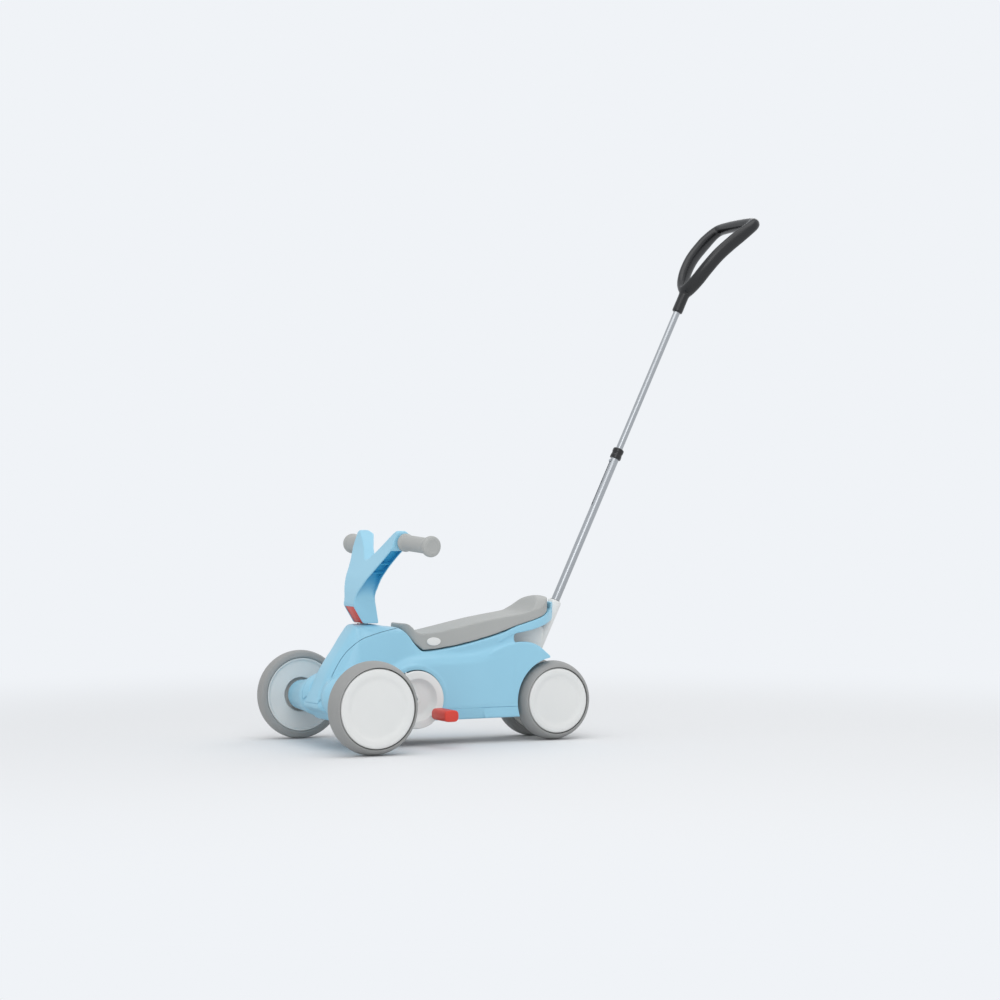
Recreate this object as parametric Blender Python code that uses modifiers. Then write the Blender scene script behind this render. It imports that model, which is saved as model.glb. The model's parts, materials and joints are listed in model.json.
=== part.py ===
"""Child's four-wheeled ride-on with folding pedals and a telescopic push bar.

Built in metres with +Z up, +X forward and +Y to the rider's left. Lengths along X are laid out from
the rear axle, and the last step stands the model with its origin under the middle of its box.
"""

import math

import bmesh
import bpy
from mathutils import Matrix, Vector

# Clearances
GAP = 0.0003
RUNNING = 0.0002
WALL = 0.003
SMALLEST_EDGE = 0.00008

# Wheels
WHEELBASE = 0.423
FRONT_TRACK = 0.360
REAR_TRACK = 0.094
TYRE_WIDTH = 0.040
FRONT_TYRE_RADIUS = 0.083
FRONT_LIP_RADIUS = 0.071
REAR_TYRE_RADIUS = 0.074
REAR_LIP_RADIUS = 0.0612
TREAD_WIDTH = 0.024
WHEEL_STEPS = 30
AXLE_RADIUS = 0.004
BUSH_WALL = 0.002
HUB_RADIUS = 0.0115
DRUM_STEP = 0.0028
CAP_DEPTH = 0.0085
STUB_END = 0.0026

# Body
BODY_REAR = 0.086
BODY_BOTTOM = 0.045
SIDE_HALF_WIDTH = 0.060
CRANK_HALF_WIDTH = 0.064
ARCH_CLEARANCE = 0.0075
COVER_HALF_WIDTH = 0.038
FAIRING_END_RADIUS = 0.0275
FRAME_HALF_WIDTH = 0.0235
RAIL_INNER = 0.0115
RAIL_THICKNESS = 0.008
BELT_SLOT = 0.0105

# Steering
STEERING_TILT = math.radians(12.0)
HEAD_X = 0.366
HEAD_Z = 0.2225
COLUMN_RADIUS = 0.007
COLUMN_LENGTH = 0.1440
COLUMN_RISE = 0.045
HEAD_TUBE_RISE = 0.018
STEERING_BUSH_WALL = 0.0025
STEERING_BUSH_LENGTH = 0.012
STEERING_TUBE_RADIUS = 0.0128
KINGPIN_INSET = 0.008
KINGPIN_RADIUS = 0.003
KNUCKLE_RADIUS = 0.007
KNUCKLE_HEIGHT = 0.034
LUG_THICKNESS = 0.004
STEERING_ARM = 0.014
ARM_PIN_RADIUS = 0.0025
ARM_PIN_SHIFT = 0.0008
ROD_WIDTH = 0.007
ROD_THICKNESS = 0.005
ROD_DROP = 0.007

# Handlebar
STEM_HALF_WIDTH = 0.0237
ARM_END_Y = 0.091
ARM_END_X = 0.3275
ARM_END_Z = 0.3715
GRIP_LENGTH = 0.095
GRIP_SWEEP = math.radians(9.0)
GRIP_DROP = math.radians(4.0)
GRIP_RADIUS = 0.0145
GRIP_COLLAR_RADIUS = 0.0165
GRIP_FLANGE_RADIUS = 0.019
GRIP_CORE_RADIUS = 0.010
ARM_WALL = 0.0035
RIB_THICKNESS = 0.0025

# Crank and pedals
CRANK_X = 0.2896
CRANK_Z = 0.085
CRANK_REACH = 0.042
CRANK_ANGLE = math.radians(143.7)
CRANK_DISC_RADIUS = 0.053
CRANK_BOWL_RADIUS = 0.037
CRANK_FACE_Y = 0.070
CRANK_BOWL_DEPTH = 0.012
CRANK_AXLE_RADIUS = 0.006
PEDAL_HINGE_RISE = 0.007
HINGE_KNUCKLE = 0.0062
HINGE_PIN_RADIUS = 0.0020
LUG_RADIUS = 0.0048
PEDAL_SPINDLE_RADIUS = 0.004
PEDAL_START = 0.008
PEDAL_LENGTH = 0.0595
PEDAL_WIDTH = 0.028
PEDAL_THICKNESS = 0.021
BELT_WIDTH = 0.010
BELT_THICKNESS = 0.0025
DRIVE_PULLEY_RADIUS = 0.0300
DRIVEN_PULLEY_RADIUS = 0.0180

# Push bar
POLE_X = -0.027
POLE_Z = 0.258
POLE_LEAN = math.radians(25.5)
LOWER_TUBE_RADIUS = 0.008
UPPER_TUBE_RADIUS = 0.0065
TUBE_WALL = 0.0012
SOCKET_DEPTH = 0.085
BOSS_RADIUS = 0.0130
LOWER_TUBE_LENGTH = 0.3115
COLLAR_LENGTH = 0.0205
COLLAR_RADIUS = 0.0108
UPPER_TUBE_OVERLAP = 0.130
BUTTON_DISTANCE = 0.2925
HOLE_PITCH = 0.0455
HOLE_RADIUS = 0.0032
BUTTON_NECK_RADIUS = 0.0010
FERRULE_DISTANCE = 0.618
FERRULE_LENGTH = 0.043
FERRULE_RADIUS = 0.0105
FERRULE_END = 0.012
HANDLE_BAR_RADIUS = 0.0115
HANDLE_HALF_WIDTH = 0.066

FRONT_AXLE = Vector((WHEELBASE, 0, FRONT_TYRE_RADIUS))
REAR_AXLE = Vector((0, 0, REAR_TYRE_RADIUS))
CRANK_CENTRE = Vector((CRANK_X, 0, CRANK_Z))
KINGPIN_Y = FRONT_TRACK / 2 - KINGPIN_INSET
STEERING_AXIS = Vector((-math.sin(STEERING_TILT), 0, math.cos(STEERING_TILT)))
POLE_AXIS = Vector((-math.sin(POLE_LEAN), 0, math.cos(POLE_LEAN)))
POLE_FRONT = Vector((math.cos(POLE_LEAN), 0, math.sin(POLE_LEAN)))
STEERING_FRONT = Vector((math.cos(STEERING_TILT), 0, math.sin(STEERING_TILT)))
HEAD = Vector((HEAD_X, 0, HEAD_Z))
POLE_BASE = Vector((POLE_X, 0, POLE_Z))
CAP_SEAT = TYRE_WIDTH / 2 - CAP_DEPTH
KNUCKLE_REACH = KNUCKLE_HEIGHT / 2 + GAP + LUG_THICKNESS
HEAD_TUBE_LOW = HEAD_TUBE_RISE - COLUMN_LENGTH
ARM_PIN_X = (HEAD - STEERING_AXIS * COLUMN_LENGTH - STEERING_FRONT * STEERING_ARM).x + ARM_PIN_SHIFT
UPPER_TUBE_TOP = FERRULE_DISTANCE + FERRULE_LENGTH - FERRULE_END
UP = Vector((0, 0, 1))
LEFT = Vector((0, 1, 0))
FORWARD = Vector((1, 0, 0))


def start_scene():
    for old in list(bpy.data.objects):
        bpy.data.objects.remove(old, do_unlink=True)
    collection = bpy.data.collections.new("ride_on")
    bpy.context.scene.collection.children.link(collection)
    return collection


COLLECTION = start_scene()


def make_material(name, colour, roughness, metallic=0.0):
    material = bpy.data.materials.new(name)
    material.use_nodes = True
    shader = material.node_tree.nodes["Principled BSDF"]
    shader.inputs["Base Color"].default_value = (*colour, 1.0)
    shader.inputs["Roughness"].default_value = roughness
    shader.inputs["Metallic"].default_value = metallic
    return material


BLUE = make_material("blue_shell", (0.28, 0.56, 0.72), 0.35)
WHITE = make_material("white_plastic", (0.76, 0.77, 0.75), 0.35)
GREY = make_material("grey_soft_plastic", (0.36, 0.36, 0.35), 0.6)
TYRE = make_material("grey_tyre", (0.32, 0.32, 0.31), 0.7)
RED = make_material("red_plastic", (0.70, 0.09, 0.05), 0.4)
BLACK = make_material("black_plastic", (0.02, 0.02, 0.022), 0.45)
FRAME = make_material("dark_frame_plastic", (0.10, 0.11, 0.12), 0.5)
STEEL = make_material("steel", (0.55, 0.56, 0.57), 0.3, 1.0)
ALUMINIUM = make_material("aluminium_tube", (0.78, 0.79, 0.80), 0.3, 1.0)
BUSH = make_material("bush_plastic", (0.55, 0.55, 0.52), 0.5)
BELT = make_material("belt_rubber", (0.03, 0.03, 0.03), 0.7)


def add_object(name, data, material=None):
    obj = bpy.data.objects.new(name, data)
    COLLECTION.objects.link(obj)
    if material:
        data.materials.clear()
        data.materials.append(material)
    return obj


def drop(obj):
    data = obj.data
    bpy.data.objects.remove(obj)
    if data.users == 0 and isinstance(data, bpy.types.Mesh):
        bpy.data.meshes.remove(data)


def baked_mesh(obj):
    """The object's evaluated mesh in world space, with doubles merged."""
    bpy.context.view_layer.update()
    graph = bpy.context.evaluated_depsgraph_get()
    mesh = bpy.data.meshes.new_from_object(obj.evaluated_get(graph), depsgraph=graph)
    mesh.transform(obj.matrix_world)
    work = bmesh.new()
    work.from_mesh(mesh)
    bmesh.ops.remove_doubles(work, verts=work.verts, dist=1e-6)
    if obj.matrix_world.determinant() < 0:
        bmesh.ops.reverse_faces(work, faces=work.faces)
    work.to_mesh(mesh)
    work.free()
    return mesh


def bake(obj):
    """Replaces the object by a plain mesh object that stands in world space."""
    mesh = baked_mesh(obj)
    name, material = obj.name, obj.active_material
    drop(obj)
    mesh.name = name
    return add_object(name, mesh, material)


def boolean(target, other, operation):
    """Applies one exact Boolean to the target and removes the other shape."""
    modifier = target.modifiers.new(operation.lower(), "BOOLEAN")
    modifier.operation = operation
    modifier.object = other
    modifier.solver = "EXACT"
    result = bake(target)
    drop(other)
    return result


def joined(target, *others):
    for other in others:
        target = boolean(target, other, "UNION")
    return target


def cut(target, *cutters):
    for cutter in cutters:
        target = boolean(target, cutter, "DIFFERENCE")
    return target


def common(target, other):
    return boolean(target, other, "INTERSECT")


def duplicate(obj, name):
    return add_object(name, obj.data.copy(), obj.active_material)


def mirrored(obj, name):
    """A copy of a baked object on the other side of the plane Y = 0."""
    mesh = obj.data.copy()
    mesh.transform(Matrix.Scale(-1, 4, LEFT))
    mesh.flip_normals()
    return add_object(name, mesh, obj.active_material)


def finished(obj, name, material):
    """Names a piece, once points closer together than any real detail are merged."""
    work = bmesh.new()
    work.from_mesh(obj.data)
    bmesh.ops.remove_doubles(work, verts=work.verts, dist=SMALLEST_EDGE)
    bmesh.ops.dissolve_degenerate(work, edges=work.edges, dist=SMALLEST_EDGE / 8)
    work.to_mesh(obj.data)
    work.free()
    obj.name = name
    obj.data.materials.clear()
    obj.data.materials.append(material)
    return obj


def bevelled(obj, width, segments=2, angle=30):
    modifier = obj.modifiers.new("rounded_edges", "BEVEL")
    modifier.width = width
    modifier.segments = segments
    modifier.limit_method = "ANGLE"
    modifier.angle_limit = math.radians(angle)
    return bake(obj)


def basis(origin, axis, start=FORWARD):
    """A placement whose local Z lies along the axis and whose local X is as near start as it can be."""
    z = axis.normalized()
    x = (start - z * start.dot(z)).normalized()
    y = z.cross(x)
    matrix = Matrix((x, y, z)).transposed().to_4x4()
    matrix.translation = origin
    return matrix


def turned(name, profile, origin, axis, material=None, steps=24, ring=False):
    """A profile of (radius, height) points turned about an axis through the origin point."""
    points = list(profile)
    area = sum(a[0] * b[1] - b[0] * a[1] for a, b in zip(points, points[1:] + points[:1]))
    if area > 0:
        points.reverse()
    mesh = bpy.data.meshes.new(name)
    edges = [(i, i + 1) for i in range(len(points) - 1)]
    if ring:
        edges.append((len(points) - 1, 0))
    mesh.from_pydata([(r, 0, z) for r, z in points], edges, [])
    obj = add_object(name, mesh, material)
    screw = obj.modifiers.new("turn", "SCREW")
    screw.steps = screw.render_steps = steps
    screw.use_merge_vertices = True
    screw.merge_threshold = 0.00001
    obj.matrix_world = basis(Vector(origin), Vector(axis), FORWARD if abs(axis[0]) < 0.9 else UP)
    return obj


def cylinder(name, origin, axis, low, high, radius, material=None, steps=24):
    profile = [(0, high), (radius, high), (radius, low), (0, low)]
    return turned(name, profile, origin, axis, material, steps)


def tube(name, origin, axis, low, high, inner, outer, material=None, steps=24):
    profile = [(inner, high), (outer, high), (outer, low), (inner, low)]
    return turned(name, profile, origin, axis, material, steps, ring=True)


def box(name, low, high, material=None):
    work = bmesh.new()
    bmesh.ops.create_cube(work, size=1.0)
    size = Vector(high) - Vector(low)
    centre = (Vector(high) + Vector(low)) / 2
    bmesh.ops.scale(work, verts=work.verts, vec=size)
    bmesh.ops.translate(work, verts=work.verts, vec=centre)
    mesh = bpy.data.meshes.new(name)
    work.to_mesh(mesh)
    work.free()
    return add_object(name, mesh, material)


def plate(name, outline, low, high, placement, material=None):
    """A flat outline, filled and extruded between two heights along the placement's Z."""
    curve = bpy.data.curves.new(name + "_outline", "CURVE")
    curve.dimensions = "2D"
    curve.fill_mode = "BOTH"
    curve.extrude = (high - low) / 2
    spline = curve.splines.new("POLY")
    spline.points.add(len(outline) - 1)
    for point, (x, y) in zip(spline.points, outline):
        point.co = (x, y, 0, 1)
    spline.use_cyclic_u = True
    shape = bpy.data.objects.new(name + "_outline", curve)
    COLLECTION.objects.link(shape)
    shape.matrix_world = placement @ Matrix.Translation((0, 0, (high + low) / 2))
    mesh = baked_mesh(shape)
    work = bmesh.new()
    work.from_mesh(mesh)
    bmesh.ops.recalc_face_normals(work, faces=work.faces)
    work.to_mesh(mesh)
    work.free()
    mesh.name = name
    bpy.data.objects.remove(shape)
    bpy.data.curves.remove(curve)
    return add_object(name, mesh, material)


# Placements of flat outlines: side views are drawn in (X, Z), front views in (Y, Z) and plans in (X, Y).
SIDE_VIEW = Matrix(((1, 0, 0, 0), (0, 0, 1, 0), (0, 1, 0, 0), (0, 0, 0, 1)))
FRONT_VIEW = Matrix(((0, 0, 1, 0), (1, 0, 0, 0), (0, 1, 0, 0), (0, 0, 0, 1)))
PLAN_VIEW = Matrix.Identity(4)


def inset(outline, distance):
    """The closed outline moved inwards by the distance, with mitred corners."""
    points = [Vector(p) for p in outline]
    turn = sum(a.x * b.y - b.x * a.y for a, b in zip(points, points[1:] + points[:1]))
    side = 1 if turn > 0 else -1
    moved = []
    for before, here, after in zip(points[-1:] + points[:-1], points, points[1:] + points[:1]):
        first = (here - before).normalized()
        second = (after - here).normalized()
        normal_a = Vector((-first.y, first.x)) * side
        normal_b = Vector((-second.y, second.x)) * side
        mitre = (normal_a + normal_b).normalized()
        moved.append(here + mitre * (distance / max(mitre.dot(normal_a), 0.35)))
    return moved


def arc(centre, radius, start, end, count):
    """Points on an arc in degrees, both ends included."""
    return [
        (
            centre[0] + radius * math.cos(math.radians(start + (end - start) * i / count)),
            centre[1] + radius * math.sin(math.radians(start + (end - start) * i / count)),
        )
        for i in range(count + 1)
    ]


def loft(name, rings, material=None):
    """A closed skin over rings that each have the same number of points, with flat ends."""
    work = bmesh.new()
    loops = [[work.verts.new(point) for point in ring] for ring in rings]
    count = len(rings[0])
    for first, second in zip(loops, loops[1:]):
        for i in range(count):
            j = (i + 1) % count
            work.faces.new((first[i], first[j], second[j], second[i]))
    work.faces.new(loops[0])
    work.faces.new(loops[-1])
    bmesh.ops.recalc_face_normals(work, faces=work.faces)
    mesh = bpy.data.meshes.new(name)
    work.to_mesh(mesh)
    work.free()
    return add_object(name, mesh, material)


def axis_empty(name, origin, parent, rotation=None):
    empty = bpy.data.objects.new(name, None)
    empty.empty_display_size = 0.03
    COLLECTION.objects.link(empty)
    bpy.context.view_layer.update()
    place = Matrix.Translation(origin)
    if rotation:
        place = place @ rotation
    if parent:
        empty.parent = parent
        empty.matrix_parent_inverse = parent.matrix_world.inverted()
    empty.matrix_world = place
    bpy.context.view_layer.update()
    return empty


def carry(parent, *pieces):
    """Hangs pieces on an empty without moving them, and shades them smooth."""
    for piece in pieces:
        piece.parent = parent
        piece.matrix_parent_inverse = parent.matrix_world.inverted()
        if piece.type == "MESH" and piece.data.polygons:
            piece.data.shade_smooth()
            piece.data.set_sharp_from_angle(angle=math.radians(35))


# Joint axes

ROOT = axis_empty("ride_on_origin", Vector(), None)
STEERING = axis_empty("steering_axis", HEAD, ROOT, basis(Vector(), STEERING_AXIS))
ROD_SLIDE = axis_empty("track_rod_slide", FRONT_AXLE, ROOT)
KINGPINS = {
    side: axis_empty(f"{side}_kingpin_axis", FRONT_AXLE + LEFT * KINGPIN_Y * sign, ROOT)
    for side, sign in (("left", 1), ("right", -1))
}
FRONT_SPINS = {
    side: axis_empty(f"{side}_front_wheel_axis", KINGPINS[side].matrix_world.translation, KINGPINS[side])
    for side in KINGPINS
}
REAR_SPIN = axis_empty("rear_axle_axis", REAR_AXLE, ROOT)
CRANK = axis_empty("crank_axis", CRANK_CENTRE, ROOT, Matrix.Rotation(CRANK_ANGLE, 4, "Y"))
CRANK_OUT = Vector((math.cos(CRANK_ANGLE), 0, -math.sin(CRANK_ANGLE)))
CRANK_ACROSS = Vector((math.sin(CRANK_ANGLE), 0, math.cos(CRANK_ANGLE)))
PUSH_BAR = axis_empty("push_bar_axis", POLE_BASE, ROOT, basis(Vector(), POLE_AXIS))
UPPER_BAR = axis_empty("upper_bar_axis", POLE_BASE + POLE_AXIS * BUTTON_DISTANCE, PUSH_BAR)
BUTTON = axis_empty("button_axis", POLE_BASE + POLE_AXIS * BUTTON_DISTANCE, UPPER_BAR)


# Body. Each section: x, top, top edge half width, crown drop, waist half width, shoulder height,
# side half width, bottom.


def body_sections():
    nose = WHEELBASE
    side, crank_side = SIDE_HALF_WIDTH, CRANK_HALF_WIDTH
    cover = COVER_HALF_WIDTH
    floor = BODY_BOTTOM
    return [
        (BODY_REAR, 0.2135, 0.0575, 0.002, 0.0540, 0.183, side, floor),
        (BODY_REAR + 0.035, 0.2010, 0.0560, 0.002, 0.0530, 0.173, side, floor),
        (0.162, 0.1900, 0.0550, 0.002, 0.0525, 0.163, side + 0.0015, floor),
        (0.203, 0.1810, 0.0530, 0.002, 0.0520, 0.159, side + 0.003, floor),
        (0.243, 0.1750, 0.0515, 0.002, 0.0520, 0.159, crank_side, floor),
        (0.268, 0.1730, 0.0500, 0.002, 0.0520, 0.158, crank_side, floor),
        (0.283, 0.1850, 0.0490, 0.003, 0.0520, 0.157, crank_side, floor),
        (0.300, 0.2070, 0.0480, 0.004, 0.0520, 0.154, crank_side, floor),
        (nose - 0.111, 0.2155, 0.0470, 0.005, 0.0520, 0.150, crank_side, floor),
        (nose - 0.093, 0.2175, 0.0440, 0.007, 0.0520, 0.142, crank_side, floor),
        (nose - 0.073, HEAD_Z - 0.0015, 0.0400, 0.013, 0.0520, 0.140, 0.062, floor),
        (nose - 0.051, HEAD_Z - GAP, cover + 0.001, 0.021, 0.0515, 0.138, 0.060, floor),
        (nose - 0.033, HEAD_Z - GAP, cover + 0.001, 0.030, 0.0510, 0.136, 0.058, floor),
        (nose - 0.021, 0.2090, cover + 0.001, 0.030, 0.0500, 0.134, 0.057, floor),
        (nose - 0.002, 0.1800, cover + 0.001, 0.030, 0.0480, 0.122, 0.055, floor + 0.001),
        (nose + 0.018, 0.1510, cover + 0.001, 0.030, 0.0465, 0.106, 0.0525, floor + 0.004),
        (nose + 0.027, 0.1340, cover + 0.001, 0.028, 0.0450, 0.098, 0.050, floor + 0.013),
        (nose + 0.034, 0.1160, cover + 0.001, 0.024, 0.0430, 0.090, 0.047, floor + 0.0195),
        (nose + 0.041, 0.1000, cover, 0.016, 0.0410, 0.080, 0.043, floor + 0.0235),
        (nose + 0.047, 0.0830, cover - 0.004, 0.002, 0.0345, 0.076, 0.035, floor + 0.0285),
    ]


def body_ring(section, thickness, one_side):
    x, top, edge, crown, waist, shoulder, side, floor = section
    top -= thickness
    edge -= thickness
    waist -= thickness
    side -= thickness
    waist_z = min(shoulder + 0.008, top - crown - 0.004)
    shoulder = min(shoulder, waist_z - 0.001)
    height = shoulder - floor
    half = [
        (0.0, top),
        (edge * 0.62, top - crown * 0.22),
        (edge, top - crown),
        (waist, waist_z),
        (waist + (side - waist) * 0.6, shoulder),
        (side, shoulder - 0.1 * height),
        (side, floor + 0.2 * height),
        (side - 0.007, floor),
        (side - 0.008, floor - 0.02) if thickness else (side - 0.012, floor),
    ]
    if one_side:
        middle = GAP / 2
        return [(x, max(y, middle), z) for y, z in half] + [(x, middle, half[-1][1])]
    return [(x, y, z) for y, z in half] + [(x, -y, z) for y, z in reversed(half[1:])]


def main_hull(name, thickness=0.0, one_side=False):
    sections = body_sections()
    if thickness:
        sections.pop()
    rings = []
    for x, *rest in sections:
        shift = thickness if x == BODY_REAR else 0.0
        if x > HEAD_X + 0.02:
            shift = -thickness / 2
        rings.append(body_ring((x + shift, *rest), thickness, one_side))
    return loft(name, rings)


# Fairing sections: distance out from the middle, front and rear reach from the front axle, top, bottom.


def fairing_sections():
    middle, end = FRONT_TYRE_RADIUS, FAIRING_END_RADIUS
    return [
        (0.030, 0.040, -0.085, middle + 0.058, middle - 0.034),
        (0.055, 0.047, -0.075, middle + 0.052, middle - 0.036),
        (0.080, 0.043, -0.060, middle + 0.043, middle - 0.034),
        (0.110, 0.036, -0.046, middle + 0.035, middle - 0.031),
        (0.140, 0.030, -0.034, middle + 0.030, middle - 0.029),
        (KINGPIN_Y - 0.006, end, -end, middle + end, middle - end),
    ]


def fairing(name, thickness, run_out):
    sections = fairing_sections()
    if run_out:
        first_y, *first = sections[0]
        last_y, *last = sections[-1]
        sections[0] = (first_y - 0.004, *first)
        sections.append((last_y + 0.02, *last))
    rings = []
    for y, front, rear, top, bottom in sections:
        centre_x = WHEELBASE + (front + rear) / 2
        centre_z = (top + bottom) / 2
        half_x = (front - rear) / 2 - thickness
        half_z = (top - bottom) / 2 - thickness
        ring = arc((0, 0), 1, 0, 330, 11)
        rings.append([(centre_x + half_x * c, y, centre_z + half_z * s) for c, s in ring])
    return loft(name, rings)


def fender_outline():
    return [
        (0.150, 0.148),
        (0.142, 0.163),
        (0.121, 0.173),
        (0.101, 0.180),
        (0.078, 0.1845),
        (0.059, 0.184),
        (0.045, 0.180),
        (0.033, 0.173),
        (0.023, 0.163),
        (0.0135, 0.1575),
        (0.0135, REAR_TYRE_RADIUS),
        (0.060, 0.0530),
        (0.150, 0.0530),
    ]


SEAT_FRONT = [(0.3035, 0.2128), (0.3000, 0.2078), (0.2830, 0.1857)]
SEAT_BASE = [
    (0.2680, 0.1732),
    (0.2430, 0.1752),
    (0.2030, 0.1812),
    (0.1620, 0.1902),
    (0.1210, 0.2012),
    (BODY_REAR, 0.2137),
    (0.0460, 0.2250),
    (0.0200, 0.2325),
    (-0.0030, 0.2435),
]
TAIL_TOP = SEAT_BASE[5:]
SEAT_TOP = [
    (-0.0040, 0.2580),
    (0.0050, 0.2650),
    (0.0180, 0.2670),
    (0.0310, 0.2610),
    (0.0410, 0.2500),
    (0.0520, 0.2430),
    (0.0890, 0.2350),
    (0.1310, 0.2290),
    (0.1720, 0.2210),
    (0.2130, 0.2120),
    (0.2450, 0.2055),
    (0.2560, 0.2045),
    (0.2640, 0.2110),
    (0.2720, 0.2180),
    (0.2840, 0.2205),
    (0.3000, 0.2195),
]
SEAT_PLAN = [
    (0.3110, 0.0330),
    (0.2900, 0.0430),
    (0.2500, 0.0495),
    (0.1600, 0.0535),
    (0.0800, 0.0565),
    (0.0520, 0.0560),
]
SEAT_REAR_REACH = 0.055


def both_sides(half):
    """A plan outline from half of it, given from the front to the rear."""
    return list(half) + [(x, -y) for x, y in reversed(half) if abs(y) > 1e-9]


def seat_plan(grow=0.0):
    last_x, last_y = SEAT_PLAN[-1]
    quarter = arc((0, 0), 1, 90, 180, 5)[1:]
    rear = [(last_x + (SEAT_REAR_REACH + grow) * c, max(0.0, (last_y + grow) * s)) for c, s in quarter]
    return both_sides([(x, y + grow) for x, y in SEAT_PLAN] + rear)


def tail_outline():
    top = [(x, z - GAP) for x, z in TAIL_TOP]
    return [
        (0.1190, 0.1975),
        *top,
        (-0.0034, 0.2432),
        (-0.0046, POLE_Z - 0.0005),
        (-0.0130, POLE_Z - 0.0005),
        (-0.0175, 0.2440),
        (-0.0130, 0.2240),
        (0.0220, 0.2140),
        (0.0500, 0.2065),
        (BODY_REAR + 0.0060, 0.1992),
        (0.1190, 0.1850),
    ]


def tail_plan(thickness):
    half = [
        (0.125, 0.0560 - thickness),
        (0.052, 0.0580 - thickness),
        (0.030, 0.0540 - thickness),
        (0.012, 0.0430 - thickness),
        (-0.003 + thickness * 0.6, 0.0280 - thickness),
        (-0.013 + thickness, 0.0160 - thickness),
        (-0.017 + thickness, 0.0060 - thickness * 0.5),
    ]
    if thickness:
        return both_sides(half)
    return half + [(half[-1][0], GAP / 2), (half[0][0], GAP / 2)]


def tail_hull(name, thickness, drop_floor):
    outline = tail_outline()
    if thickness:
        outline = [(x, z) for x, z in inset(outline, thickness)]
        count = len(TAIL_TOP) + 5
        lowered = [(x, z - drop_floor) for x, z in outline[count:]]
        outline = outline[:count] + lowered
    side = plate(name, outline, -0.07, 0.07, SIDE_VIEW)
    plan = plate(name + "_plan", tail_plan(thickness), 0.10, 0.30, PLAN_VIEW)
    return common(side, plan)


def pole_cylinder(name, low, high, radius, material=None, steps=20):
    return cylinder(name, POLE_BASE, POLE_AXIS, low, high, radius, material, steps)


def cover_plan(grow):
    edge = COVER_HALF_WIDTH - 0.001 + grow
    return both_sides([
        (WHEELBASE + 0.08, edge - 0.006),
        (WHEELBASE + 0.02, edge),
        (WHEELBASE - 0.06, edge - 0.004),
        (0.318 - grow, edge * 0.8),
    ])


def build_side_shell():
    """The left half of the body: hull side, half of the fairing, rear fender and half of the tail."""
    fender_face = SIDE_HALF_WIDTH - 0.0003
    outer = joined(
        main_hull("outer", one_side=True),
        fairing("fairing", 0.0, False),
        bevelled(plate("fender", fender_outline(), 0.030, fender_face, SIDE_VIEW), 0.0025, 1, 70),
        tail_hull("tail", 0.0, 0.0),
    )
    arch = REAR_TYRE_RADIUS + ARCH_CLEARANCE
    frame = FRAME_HALF_WIDTH + GAP
    well = plate("well", inset(fender_outline(), WALL), 0.030 + WALL, fender_face - WALL, SIDE_VIEW)
    well = cut(well, cylinder("liner", REAR_AXLE, LEFT, -0.1, 0.1, arch + WALL * 0.8, steps=36))
    inner = joined(
        main_hull("inner", WALL),
        fairing("fairing_inner", WALL, True),
        tail_hull("tail_inner", WALL, 0.03),
        well,
    )
    shell = cut(
        outer,
        inner,
        cylinder("arch", REAR_AXLE, LEFT, -0.1, 0.1, arch, steps=36),
        cylinder("crank_opening", CRANK_CENTRE, LEFT, -0.1, 0.1, CRANK_DISC_RADIUS + 0.0015, steps=36),
        pole_cylinder("boss_room", -0.12, 0.02, BOSS_RADIUS + GAP),
        steering_hole(),
        box("frame_opening", (0.05, -frame, 0.03), (BODY_REAR + 0.02, frame, 0.1988)),
        plate("cover_room", cover_plan(GAP / 2), 0.02, 0.26, PLAN_VIEW),
    )
    return finished(shell, "left_body_shell", BLUE)


def steering_hole():
    return cylinder("steering_hole", HEAD, STEERING_AXIS, -0.06, 0.02, STEERING_TUBE_RADIUS + GAP)


def build_cover():
    cover = common(main_hull("cover"), plate("cover_zone", cover_plan(-GAP / 2), 0.02, 0.26, PLAN_VIEW))
    cover = cut(cover, main_hull("cover_inner", WALL), steering_hole())
    return finished(cover, "front_cover", BLUE)


# Seat


def build_seat():
    rise = 1.5 * GAP
    base = [(x, z + rise) for x, z in SEAT_FRONT + SEAT_BASE]
    side = plate("seat", base + SEAT_TOP, -0.08, 0.08, SIDE_VIEW, GREY)
    seat = common(side, plate("seat_plan", seat_plan(), 0.10, 0.35, PLAN_VIEW))
    seat = bevelled(seat, 0.005, 1)
    pole_room = pole_cylinder("pole_room", -0.10, 0.05, LOWER_TUBE_RADIUS + 0.003)
    hollow = [(x, z) for x, z in inset(base + SEAT_TOP, 0.0045)]
    floor = len(SEAT_FRONT) + 1
    for index in range(floor, len(base) - 2):
        hollow[index] = (hollow[index][0], hollow[index][1] - 0.02)
    cavity = plate("seat_hollow", hollow[floor:], -0.08, 0.08, SIDE_VIEW)
    cavity = common(cavity, plate("seat_hollow_plan", seat_plan(-0.0045), 0.10, 0.35, PLAN_VIEW))
    seat = cut(seat, cavity, pole_room)
    seat.name = "seat"
    ovals = []
    for side_name, sign in (("left", 1), ("right", -1)):
        slope = math.atan2(0.0040, 0.090)
        outward = Vector((math.sin(slope), sign * math.cos(slope), 0))
        place = basis(Vector((0.249, sign * 0.0497, 0.1893)) + outward * GAP, outward)
        ring = [(0.0135 * c, 0.0075 * s) for c, s in arc((0, 0), 1, 0, 345, 23)]
        ovals.append(plate(f"{side_name}_side_oval", ring, 0.0, 0.0015, place, WHITE))
    return seat, ovals


# Chassis


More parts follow.
